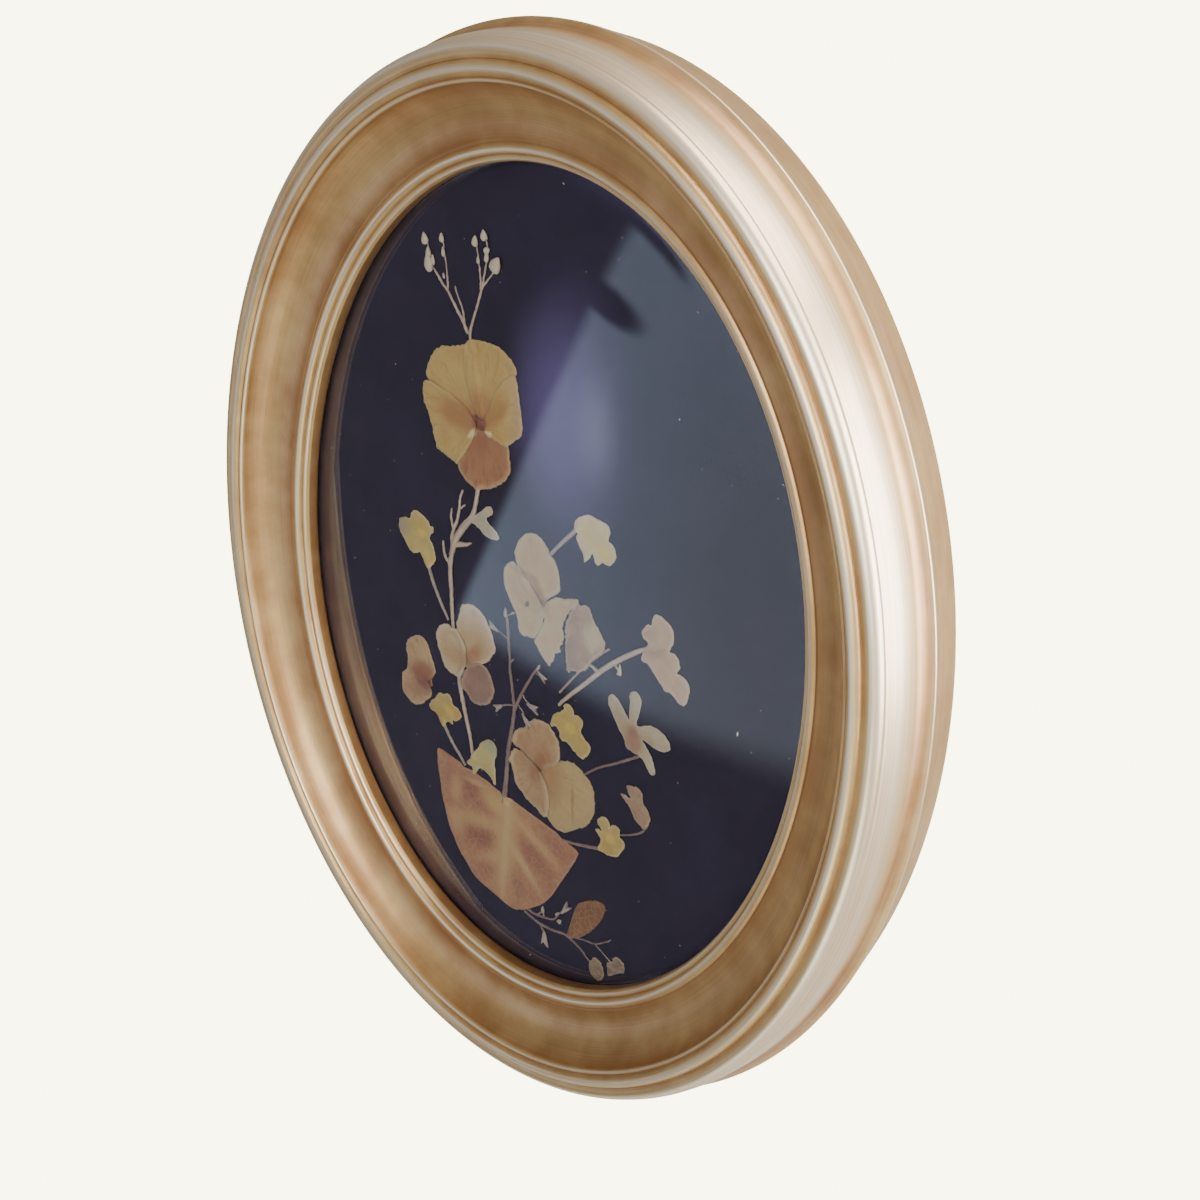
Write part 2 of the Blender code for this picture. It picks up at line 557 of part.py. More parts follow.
def add_low_pansy():
    """The wide pansy that leans over the rim of the leaf."""
    upper = [
        (4.6, -39.5), (5.6, -36.9), (7.5, -34.3), (9.7, -32.9), (12.6, -32.3), (14.8, -32.6), (17.0, -34.3),
        (18.6, -35.9), (19.4, -38.5), (20.4, -41), (16, -46), (13.5, -48), (4.4, -47), (2.4, -47.7), (1.4, -45.5),
        (1.7, -43.3), (3.0, -40.7),
    ]
    petal("low_pansy_upper", MIDDLE_LAYER, PEACH, upper)
    left = [
        (2.9, -46.9), (1.9, -51.6), (2.1, -53.8), (4.3, -57.0), (5.6, -59.5), (8.8, -60.8), (9.7, -61.8),
        (12.6, -61.8), (15.8, -62.3), (18.0, -62.7), (20, -62), (19, -54), (14.2, -47.6),
    ]
    petal("low_pansy_left", HIGH_LAYER, PEACH, left)
    right = [
        (20.7, -39.9), (23.1, -38.5), (25.3, -37.9), (28.5, -37.9), (30.8, -38.3), (32.7, -40.1), (34.4, -42.0),
        (35.2, -44.9), (35.8, -47.7), (34.9, -52.5), (33.3, -55.1), (30.8, -57.6), (29.2, -59.9), (26.9, -62.1),
        (24.4, -63.3), (21.5, -62.9), (18.8, -61.5), (14, -49), (16, -44.5),
    ]
    petal("low_pansy_right", LOW_LAYER, STRAW, right)


def add_small_right_flowers():
    """The little flowers on the right, with their bent stems."""
    middle_yellow = [
        (14.3, -32), (14.2, -29.2), (14.8, -27.0), (18.0, -24.1), (17.8, -21.9), (19.6, -21.0), (21.2, -21.6),
        (21.8, -23.2), (23.4, -22.0), (24.9, -22.6), (25.4, -24.0), (24.7, -25.7), (25.3, -26.9), (27.3, -27.8),
        (29.5, -28.3), (29.8, -29.6), (28.8, -32.8), (27.4, -34.8), (23.1, -33.4), (21.2, -32.6), (19.0, -33.8),
        (18.0, -30.7), (15.4, -30.6), (15, -32),
    ]
    petal("middle_yellow_flower", LOW_LAYER, BUTTER, middle_yellow)
    star = [
        (40.3, -1.9), (42.2, -2.5), (43.2, -5.5), (42.8, -8.8), (43, -12), (45.2, -10.2), (47.5, -8.5), (50.1, -7.8),
        (53.1, -8.3), (55.3, -10.2), (54.8, -11.8), (52.8, -13.3), (49.8, -13.8), (45, -13.9), (46.8, -15.0),
        (49.8, -16.8), (51.5, -19.1), (52.6, -20.8), (52.1, -22.1), (51.0, -22.4), (49.5, -20.8), (45.9, -18.6),
        (44.8, -19.9), (40.8, -19.9), (40.5, -18.1), (35.9, -15.1), (33.9, -12.8), (32.2, -11.1), (31.9, -8.7),
        (33.9, -7.7), (36.5, -8.5), (40.8, -12.4), (39.9, -9.2), (39.4, -6.2), (38.2, -4.2),
    ]
    petal("star_flower", LOW_LAYER, CREAM, star)
    star_path = [(46.4, -19.4), (42.9, -23.3), (39.3, -27.2), (35.7, -30.8), (32.5, -34.4), (29.6, -38.4)]
    stem("star_flower_stem", TWIG, star_path, 0.9)
    brown = [
        (44.6, -30.8), (46.4, -30.3), (48.6, -28.8), (50.4, -30.1), (50.7, -32.6), (52.9, -33.5), (54.5, -35.1),
        (54.8, -37.9), (53.6, -39.7), (51.1, -39.7), (48.6, -38.6), (47.1, -36.5), (42.5, -35.1), (44.6, -34.2),
        (47.3, -34.5), (45.0, -32.2),
    ]
    petal("brown_flower", LOW_LAYER, BUD_BROWN, brown)
    stem("brown_flower_stem", TWIG, [(54.2, -38.6), (52.1, -42.6), (49.6, -45.1), (45.8, -48.2)], 0.7)
    right_yellow = [
        (37.3, -49.7), (38.2, -47.6), (40.0, -46.3), (41.8, -46.7), (42.3, -49.2), (42.9, -46.5), (45.5, -46.0),
        (46.1, -48.5), (48.2, -49.2), (48.4, -51.1), (47.7, -53.3), (47.1, -55.4), (44.3, -57.2), (41.4, -57.8),
        (40.0, -57.2), (40.5, -54.0), (37.9, -52.9), (37.3, -51.9), (40.7, -51.4),
    ]
    petal("right_yellow_flower", LOW_LAYER, BUTTER, right_yellow)
    yellow_path = [(41, -57.2), (36.1, -60.1), (31.4, -62.9), (27, -64.9)]
    stem("right_yellow_flower_stem", TWIG, yellow_path, 1.3)


def add_vase_leaf():
    """The half leaf that stands for the vase, cut straight across its top."""
    outline = [
        (-28.7, -70.9), (-26.6, -70.0), (-2.5, -67.1), (15.3, -65.4), (33.5, -63.8), (33.3, -67.1), (30.5, -76.1),
        (27.4, -86.8), (24.7, -92.6), (20.7, -97.5), (17.1, -101.3), (14.0, -103.8), (10.9, -104.4), (-0.8, -104.9),
        (-4.3, -104.6), (-11.5, -100.6), (-15.0, -97.9), (-18.6, -93.9), (-21.3, -89.9), (-25.8, -80.1),
    ]
    petal("vase_leaf", LOW_LAYER, RUSSET, outline)


def add_bottom_sprig():
    """The sprig beside the foot of the leaf, split at its fork, and its one small leaf."""
    upper_path = [(19.4, -99.0), (22.9, -98.3), (26.9, -96.4), (30.1, -94.1), (31.5, -90.6), (33.1, -88.4)]
    stem("bottom_sprig_upper", TWIG, upper_path, 0.9, [(1, "left", [(24.9, -95.8)], 1.2)])
    lower_path = [(18.4, -100.6), (25, -100.2), (30.7, -98.2), (35.9, -95.9), (41.8, -96.2), (45.3, -97.4), (50, -98.5)]
    lower_twigs = [
        (1, "right", [(27.9, -102.6)], 1.0),
        (3, "left", [(40.1, -93.4), (43.3, -91.7), (46.8, -89.9), (50.8, -85.5)], 0.8),
    ]
    stem("bottom_sprig_lower", TWIG, lower_path, 0.9, lower_twigs)
    leaf = [
        (36.1, -95.8), (36.2, -92.3), (36.5, -87.6), (36.8, -84.1), (37.7, -81.1), (39.5, -79.1), (41.8, -76.7),
        (44.2, -75.0), (47.1, -74.1), (47.2, -77.3), (46.5, -81.1), (45.0, -85.3), (43.0, -89.1), (40.9, -92.6),
        (38.6, -94.6),
    ]
    petal("orange_leaf", LOW_LAYER, RUSSET, leaf)


def main():
    clear_scene()
    add_moulding()
    add_glass()
    board = add_backing()
    add_points()
    add_hanger(board)
    add_yellow_pansy()
    add_top_sprig()
    add_tall_stem()
    add_cream_flower()
    add_viola()
    add_side_viola()
    add_left_yellow_flower()
    add_green_flower()
    add_middle_sprig()
    add_peach_pansy()
    add_white_flower()
    add_right_spray()
    add_low_pansy()
    add_small_right_flowers()
    add_vase_leaf()
    add_bottom_sprig()


main()
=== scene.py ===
"""Pressed flower frame: a gilt oval moulding, domed glass and a posy of dried flowers on velvet."""

import math

import bmesh
import bpy
import numpy as np
from bpy.props import FloatProperty, FloatVectorProperty, IntProperty, PointerProperty
from mathutils import Matrix, Vector, noise
from mathutils.geometry import delaunay_2d_cdt


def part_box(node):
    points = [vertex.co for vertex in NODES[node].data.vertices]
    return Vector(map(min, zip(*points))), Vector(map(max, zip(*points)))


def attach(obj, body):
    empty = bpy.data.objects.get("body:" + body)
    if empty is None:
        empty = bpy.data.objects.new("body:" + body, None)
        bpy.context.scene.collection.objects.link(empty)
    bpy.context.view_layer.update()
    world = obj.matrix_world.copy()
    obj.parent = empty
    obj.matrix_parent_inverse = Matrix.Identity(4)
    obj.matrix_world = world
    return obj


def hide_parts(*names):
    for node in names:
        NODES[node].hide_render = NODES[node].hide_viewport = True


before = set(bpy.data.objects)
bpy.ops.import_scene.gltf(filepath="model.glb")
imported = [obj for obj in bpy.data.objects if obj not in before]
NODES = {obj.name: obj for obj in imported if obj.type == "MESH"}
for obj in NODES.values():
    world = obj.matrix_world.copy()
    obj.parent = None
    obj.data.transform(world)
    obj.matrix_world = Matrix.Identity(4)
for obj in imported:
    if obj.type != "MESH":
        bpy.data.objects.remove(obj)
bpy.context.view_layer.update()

bl_info = {
    "name": "Pressed flower frame",
    "version": (1, 0, 0),
    "blender": (4, 5, 0),
    "location": "View3D > Sidebar > Flower frame",
    "description": "Makes the gilt moulding, the glass, the velvet and the dried flowers of an oval frame",
    "category": "Add Mesh",
}

MOULDING_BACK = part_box("moulding")[1].y
GLASS_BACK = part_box("glass")[1].y
VELVET_LOW, VELVET_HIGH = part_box("velvet")
VELVET_FACE = VELVET_LOW.y
MM = 0.001
# Turns a shown colour into the matt colour that gives it: the mix of channels and the curve.
PAINT_MIX = np.array([[0.9, 0.473, -0.169], [-0.033, 1.211, -0.057], [0.156, -0.382, 1.264]])
PAINT_CURVE = 2.267
BACKDROP_LIGHT = 8.34
FLATTENED = 0.6  # a pressed stem's height over its width
EASE = 0.3  # how broadly the glass eases into its rim
LAID = []  # holds the one height field while the posy is laid


# ---------------------------------------------------------------- sizes and colours


def length(name, description, default):
    return FloatProperty(name=name, description=description, default=default, unit="LENGTH", precision=5)


def colour(name, description, default):
    settings = {"subtype": "COLOR", "size": 3, "min": 0, "max": 1}
    return FloatVectorProperty(name=name, description=description, default=default, **settings)


class FrameSizes(bpy.types.PropertyGroup):
    """Sizes of the moulding, the glass and the cloth."""

    half_width: length("Sight half width", "Half the width of the opening in the moulding", 0.09525)
    half_height: length("Sight half height", "Half the height of the opening in the moulding", 0.12065)
    back: length("Back rim", "How far behind the middle the back rim lies", MOULDING_BACK)
    glass_rise: length("Rise of the glass", "How far the middle of the glass stands in front of its rim", 0.0055)
    glass_thickness: length("Glass thickness", "Thickness of the bent glass", 0.0017)
    pack_margin: length("Pack margin", "How far the glass and cloth reach behind the moulding's lip", 0.0032)
    ring_steps: IntProperty(name="Steps round the oval", description="Straight steps in one turn", default=288, min=32)


class PosySizes(bpy.types.PropertyGroup):
    """Sizes of the dried flowers."""

    sheet: length("Petal thickness", "Thickness of a dry petal", 0.00016)
    spacing: length("Mesh spacing", "Distance between the points of a petal", 0.00055)
    curl: length("Edge curl", "How far a petal's edge lifts", 0.0003)


class FrameColours(bpy.types.PropertyGroup):
    """Colours of the frame."""

    gilt: colour("Gilt", "The gold finish", (0.6, 0.41, 0.18))
    worn: colour("Worn gilt", "The pale rubbed places", (0.88, 0.8, 0.67))
    glaze: colour("Glaze", "The warm glaze in the hollows", (0.3, 0.145, 0.05))
    bole: colour("Bole", "The pinkish ground under the gold", (0.72, 0.47, 0.34))
    velvet: colour("Velvet", "The dark cloth", (0.0105, 0.0072, 0.0168))
    floor: colour("Floor", "The pale floor", (0.8, 0.78, 0.74))
    backdrop: colour("Backdrop", "What shows round the frame", (1.0, 0.974, 0.677))


# ---------------------------------------------------------------- node helpers


def lay(tree, kind, inputs=(), **settings):
    """A node of this kind. inputs pairs socket names or numbers with values or with sockets to link."""
    node = tree.nodes.new(kind)
    for key, value in settings.items():
        setattr(node, key, value)
    for key, value in dict(inputs).items():
        socket = node.inputs[key]
        if isinstance(value, bpy.types.NodeSocket):
            tree.links.new(value, socket)
        else:
            socket.default_value = value
    return node


def maths(tree, operation, first, second=0.0, third=0.0):
    return lay(tree, "ShaderNodeMath", {0: first, 1: second, 2: third}, operation=operation).outputs[0]


def vector_maths(tree, operation, first, second=(0, 0, 0)):
    return lay(tree, "ShaderNodeVectorMath", {0: first, 1: second}, operation=operation).outputs[0]


def joined(tree, x=0.0, y=0.0, z=0.0):
    return lay(tree, "ShaderNodeCombineXYZ", {0: x, 1: y, 2: z}).outputs[0]


def ramp(tree, value, low, high, to_low=0.0, to_high=1.0):
    """The value stretched from low..high to to_low..to_high with soft ends."""
    inputs = {"Value": value, "From Min": low, "From Max": high, "To Min": to_low, "To Max": to_high}
    return lay(tree, "ShaderNodeMapRange", inputs, interpolation_type="SMOOTHSTEP").outputs[0]


def mixed(tree, share, first, second):
    """Two colours mixed by share."""
    inputs = {0: share, 6: (*first, 1) if isinstance(first, tuple) else first}
    inputs[7] = (*second, 1) if isinstance(second, tuple) else second
    return lay(tree, "ShaderNodeMix", inputs, data_type="RGBA", clamp_factor=True).outputs[2]


def noise_of(tree, vector, scale, detail=3.0, roughness=0.55):
    inputs = {"Vector": vector, "Scale": scale, "Detail": detail, "Roughness": roughness}
    return lay(tree, "ShaderNodeTexNoise", inputs).outputs[0]


def place_of(tree):
    return lay(tree, "ShaderNodeTexCoord").outputs["Object"]


def attribute(tree, name, output="Fac"):
    return lay(tree, "ShaderNodeAttribute", attribute_name=name).outputs[output]


def new_group(name, vectors, values):
    """A shader group with these vector and number inputs and a Mask output, and its end sockets."""
    tree = bpy.data.node_groups.new(name, "ShaderNodeTree")
    for label in vectors:
        tree.interface.new_socket(name=label, in_out="INPUT", socket_type="NodeSocketVector")
    for label, value in values.items():
        socket = tree.interface.new_socket(name=label, in_out="INPUT", socket_type="NodeSocketFloat")
        socket.default_value = value
    tree.interface.new_socket(name="Mask", in_out="OUTPUT", socket_type="NodeSocketFloat")
    given = tree.nodes.new("NodeGroupInput").outputs
    return tree, given, tree.nodes.new("NodeGroupOutput").inputs["Mask"]


def group(tree, name, inputs):
    """The mask of the shader group of this name."""
    return lay(tree, "ShaderNodeGroup", inputs, node_tree=bpy.data.node_groups[name]).outputs[0]


def split(tree, vector):
    """The x, y and z of a vector."""
    return lay(tree, "ShaderNodeSeparateXYZ", {0: vector}).outputs


def times(tree, vector, amount):
    return lay(tree, "ShaderNodeVectorMath", {0: vector, 3: amount}, operation="SCALE").outputs[0]


def camera_only(tree, others, shown, output):
    """Shows one shader to the camera and the other to everything else."""
    seen = lay(tree, "ShaderNodeLightPath").outputs["Is Camera Ray"]
    both = lay(tree, "ShaderNodeMixShader", {0: seen, 1: others.outputs[0], 2: shown.outputs[0]})
    tree.links.new(both.outputs[0], tree.nodes[output].inputs["Surface"])


def paint(red, green, blue, gain=0.72):
    """The colour of matt stuff that shows as this colour (0 to 255) in the studio light."""
    shown = np.array((red, green, blue)) / 255
    light = PAINT_MIX @ shown**PAINT_CURVE
    return tuple(float(value) for value in np.clip(light * gain, 0.004, 0.95))


def new_material(name):
    """An empty material with its tree and its Principled shader."""
    material = bpy.data.materials.new(name)
    material.use_nodes = True
    tree = material.node_tree
    return material, tree, tree.nodes["Principled BSDF"]


def feed(tree, shader, **inputs):
    """Sets or links the shader's inputs; an underscore in a name stands for a space."""
    for key, value in inputs.items():
        socket = shader.inputs[key.replace("_", " ")]
        if isinstance(value, bpy.types.NodeSocket):
            tree.links.new(value, socket)
        elif isinstance(value, tuple) and len(value) == 3 and socket.type == "RGBA":
            socket.default_value = (*value, 1)
        else:
            socket.default_value = value


def bump(tree, height, distance, strength=1.0):
    return lay(tree, "ShaderNodeBump", {"Height": height, "Distance": distance, "Strength": strength}).outputs[0]


# ---------------------------------------------------------------- shader groups


def make_mottle_group():
    """Cloudy variation in two sizes, 0 to 1."""
    tree, given, mask = new_group("Mottle", ["Vector"], {"Size": 0.01, "Contrast": 1.0})
    scale = maths(tree, "DIVIDE", 1.0, given["Size"])
    broad = noise_of(tree, given["Vector"], scale, 2.0)
    fine = noise_of(tree, given["Vector"], maths(tree, "MULTIPLY", scale, 4.3), 3.0)
    both = maths(tree, "MULTIPLY_ADD", broad, 0.65, maths(tree, "MULTIPLY", fine, 0.35))
    spread = maths(tree, "MULTIPLY_ADD", maths(tree, "SUBTRACT", both, 0.5), given["Contrast"], 0.5)
    tree.links.new(ramp(tree, spread, 0.25, 0.75), mask)


def make_vein_group():
    """Fine lines that fan out from a petal's base: turn and reach come in the Grain vector."""
    tree, given, mask = new_group("Veins", ["Grain"], {"Lines": 14.0, "Seed": 0.0})
    turn, reach, _ = split(tree, given["Grain"])
    drift = noise_of(tree, joined(tree, turn, reach, given["Seed"]), 2.2, 2.0)
    fanned = maths(tree, "ADD", turn, maths(tree, "MULTIPLY", drift, 0.22))
    across = maths(tree, "MULTIPLY", fanned, given["Lines"])
    along = maths(tree, "MULTIPLY", reach, 0.9)
    lines = noise_of(tree, joined(tree, across, along, given["Seed"]), 1.0, 3.0, 0.6)
    tree.links.new(ramp(tree, lines, 0.5, 0.68), mask)


def make_rim_group():
    """A band along a petal's edge that fades inwards unevenly."""
    tree, given, mask = new_group("Rim", ["Grain", "Vector"], {"Width": 1.5})
    edge = split(tree, given["Grain"])[2]
    uneven = maths(tree, "MULTIPLY_ADD", noise_of(tree, given["Vector"], 420.0, 2.0), 1.3, 0.35)
    width = maths(tree, "MULTIPLY", given["Width"], uneven)
    tree.links.new(ramp(tree, maths(tree, "DIVIDE", edge, width), 0.1, 1.0, 1.0, 0.0), mask)


def make_mark_group():
    """A soft-edged oval mark at one place, with a slightly ragged outline."""
    tree, given, mask = new_group("Mark", ["Vector", "Centre", "Turn", "Reach"], {"Softness": 0.4})
    cloud = lay(tree, "ShaderNodeTexNoise", {"Vector": given["Vector"], "Scale": 900.0}).outputs[1]
    stray = vector_maths(tree, "SUBTRACT", cloud, (0.5, 0.5, 0.5))
    stray = vector_maths(tree, "MULTIPLY", stray, (0.0012, 0, 0.0012))
    moved = vector_maths(tree, "ADD", given["Vector"], stray)
    mapping = {"Vector": moved, "Location": given["Centre"]}
    mapping.update({"Rotation": given["Turn"], "Scale": given["Reach"]})
    local = lay(tree, "ShaderNodeMapping", mapping, vector_type="TEXTURE").outputs[0]
    far = lay(tree, "ShaderNodeVectorMath", {0: local}, operation="LENGTH").outputs["Value"]
    low = maths(tree, "SUBTRACT", 1.0, given["Softness"])
    high = maths(tree, "ADD", 1.0, given["Softness"])
    tree.links.new(ramp(tree, far, low, high, 1.0, 0.0), mask)


def make_streak_group():
    """Brush streaks that run lengthwise along the moulding."""
    values = {"Outward": 0.0, "Forward": 0.0, "Density": 1.0}
    tree, given, mask = new_group("Brush streaks", ["Vector"], values)
    outward = maths(tree, "MULTIPLY", given["Outward"], given["Density"])
    forward = maths(tree, "MULTIPLY", given["Forward"], given["Density"])
    slow = vector_maths(tree, "MULTIPLY", given["Vector"], (22, 22, 22))
    both = vector_maths(tree, "ADD", joined(tree, outward, forward), slow)
    tree.links.new(noise_of(tree, both, 1.0, 4.0, 0.6), mask)


def mark_at(tree, place, centre, turn, reach, softness):
    """The Mark group's mask; turn is in degrees, anticlockwise from the front."""
    given = {"Vector": place, "Centre": centre, "Turn": (0, math.radians(-turn), 0)}
    return group(tree, "Mark", {**given, "Reach": reach, "Softness": softness})


# ---------------------------------------------------------------- finishes


def mottle(tree, place, size, contrast):
    return group(tree, "Mottle", {"Vector": place, "Size": size, "Contrast": contrast})


def gilt_finish(colours):
    """Gold finish with a warm glaze in the hollows, rubbed pale on the high places."""
    material, tree, shader = new_material("antique gilt")
    place = place_of(tree)
    hollow = attribute(tree, "hollow")
    outward, forward = attribute(tree, "outward"), attribute(tree, "forward")
    lie = {"Vector": place, "Outward": outward, "Forward": forward}
    streak = group(tree, "Brush streaks", {**lie, "Density": 2.2})
    broad = group(tree, "Brush streaks", {**lie, "Density": 0.5})
    cloud = mottle(tree, place, 0.03, 1.2)
    glaze = maths(tree, "MULTIPLY_ADD", maths(tree, "SUBTRACT", streak, 0.5), 0.3, hollow)
    glaze = maths(tree, "MULTIPLY_ADD", maths(tree, "SUBTRACT", cloud, 0.5), 0.35, glaze)
    shade = mixed(tree, ramp(tree, glaze, 0.05, 0.95), tuple(colours.gilt), tuple(colours.glaze))
    rubbed = maths(tree, "SUBTRACT", maths(tree, "ADD", streak, 0.05), maths(tree, "MULTIPLY", hollow, 2.2))
    shade = mixed(tree, ramp(tree, rubbed, -0.1, 0.95), shade, tuple(colours.worn))
    outer = ramp(tree, outward, 27.5, 30.0)
    blush = maths(tree, "MULTIPLY", outer, ramp(tree, broad, 0.4, 0.7, 0.0, 0.25))
    shade = mixed(tree, blush, shade, tuple(colours.bole))
    grain = noise_of(tree, place, 2600.0, 3.0)
    rough = maths(tree, "MULTIPLY_ADD", hollow, 0.16, maths(tree, "MULTIPLY_ADD", streak, 0.12, 0.28))
    height = maths(tree, "MULTIPLY_ADD", streak, 0.7, maths(tree, "MULTIPLY", grain, 0.3))
    feed(tree, shader, Base_Color=shade, Roughness=rough, Metallic=0.75, Normal=bump(tree, height, 0.00008, 0.4))
    feed(tree, shader, Coat_Weight=0.3, Coat_Roughness=0.25)
    return material


def glass_finish():
    """Clear glass that lets the lamps through to what lies behind it."""
    material, tree, shader = new_material("clear glass")
    feed(tree, shader, Base_Color=(0.97, 0.985, 0.98), Roughness=0.0, IOR=1.5, Transmission_Weight=1.0)
    paths = lay(tree, "ShaderNodeLightPath").outputs
    through = lay(tree, "ShaderNodeBsdfTransparent", {"Color": (0.93, 0.94, 0.94, 1)})
    share = maths(tree, "MAXIMUM", paths["Is Shadow Ray"], paths["Is Diffuse Ray"])
    both = lay(tree, "ShaderNodeMixShader", {0: share, 1: shader.outputs[0], 2: through.outputs[0]})
    tree.links.new(both.outputs[0], tree.nodes["Material Output"].inputs["Surface"])
    return material


def velvet_finish(colours):
    """Short dark pile, brushed in soft patches."""
    material, tree, shader = new_material("dark velvet")
    place = place_of(tree)
    nap = mottle(tree, place, 0.022, 1.3)
    pile = noise_of(tree, place, 3800.0, 2.0)
    dark = tuple(colours.velvet)
    light = tuple(value * 1.9 + 0.002 for value in dark)
    share = maths(tree, "MULTIPLY_ADD", nap, 0.45, maths(tree, "MULTIPLY", pile, 0.12))
    feed(tree, shader, Base_Color=mixed(tree, share, dark, light), Roughness=0.95, Specular_IOR_Level=0.15)
    feed(tree, shader, Sheen_Weight=0.03, Sheen_Roughness=0.5, Sheen_Tint=(0.5, 0.5, 0.7))
    feed(tree, shader, Normal=bump(tree, pile, 0.00003, 0.1))
    return material


def petal_finish(name, main, deep, rim, veins, lines=14.0, vein_depth=0.5, rim_width=1.4, marks=(), size=0.006):
    """A dry petal: mottled, veined from its base and faded at its edge, with its own marks."""
    material, tree, shader = new_material(name)
    place = place_of(tree)
    grain = attribute(tree, "grain", "Vector")
    seed = float(len(name) * 1.7)
    cloud = mottle(tree, place, size, 1.3)
    shade = mixed(tree, cloud, paint(*main), paint(*deep))
    vein = group(tree, "Veins", {"Grain": grain, "Lines": lines, "Seed": seed})
    shade = mixed(tree, maths(tree, "MULTIPLY", vein, vein_depth), shade, paint(*veins))
    edge = group(tree, "Rim", {"Grain": grain, "Width": rim_width, "Vector": place})
    shade = mixed(tree, maths(tree, "MULTIPLY", edge, 0.8), shade, paint(*rim))
    for mark_colour, strength, x, z, half_length, half_width, turn, softness in marks:
        reach = (half_length * MM, 1, half_width * MM)
        spot = mark_at(tree, place, (x * MM, 0, z * MM), turn, reach, softness)
        shade = mixed(tree, maths(tree, "MULTIPLY", spot, strength), shade, paint(*mark_colour))
    paper = noise_of(tree, place, 3000.0, 3.0)
    height = maths(tree, "MULTIPLY_ADD", vein, 0.5, maths(tree, "MULTIPLY", paper, 0.5))
    rough = maths(tree, "MULTIPLY_ADD", paper, 0.2, 0.6)
    feed(tree, shader, Base_Color=shade, Roughness=rough, Specular_IOR_Level=0.3, Sheen_Weight=0.08)
    feed(tree, shader, Normal=bump(tree, height, 0.0002, 0.5))
    return material


def stem_finish(name, main, deep):
    """A dry, slightly wrinkled stem."""
    material, tree, shader = new_material(name)
    place = place_of(tree)
    cloud = mottle(tree, place, 0.004, 1.6)
    fine = noise_of(tree, place, 2400.0, 4.0, 0.65)
    share = maths(tree, "MULTIPLY_ADD", cloud, 0.6, maths(tree, "MULTIPLY", fine, 0.4))
    shade = mixed(tree, share, paint(*main), paint(*deep))
    feed(tree, shader, Base_Color=shade, Roughness=maths(tree, "MULTIPLY_ADD", fine, 0.25, 0.55))
    feed(tree, shader, Normal=bump(tree, fine, 0.0003, 0.7))
    return material


# What each kind of petal looks like: main, deep, rim and vein colours, then its own marks as
# (colour, strength, x, z, half length, half width, turn, softness).
STRAW_MARKS = (
    ((154, 106, 66), 0.85, -39.0, 39.2, 8.4, 4.2, 8, 0.5),
    ((156, 112, 68), 0.8, -25.4, 46.6, 6.8, 2.8, 62, 0.55),
    ((150, 100, 62), 0.7, -31.6, 45.4, 4.8, 4.2, 80, 0.7),
    ((134, 80, 52), 0.9, -30.6, 41.3, 3.2, 2.2, 25, 0.5),
    ((100, 50, 34), 0.8, -31.9, 42.4, 0.9, 0.6, 0, 0.5),
    ((100, 50, 34), 0.8, -29.9, 40.1, 0.9, 0.6, 0, 0.5),
    ((206, 188, 150), 0.95, -26.6, 39.9, 1.3, 0.9, 10, 0.35),
    ((206, 188, 150), 0.95, -32.8, 36.8, 2.3, 0.9, 49, 0.35),
)
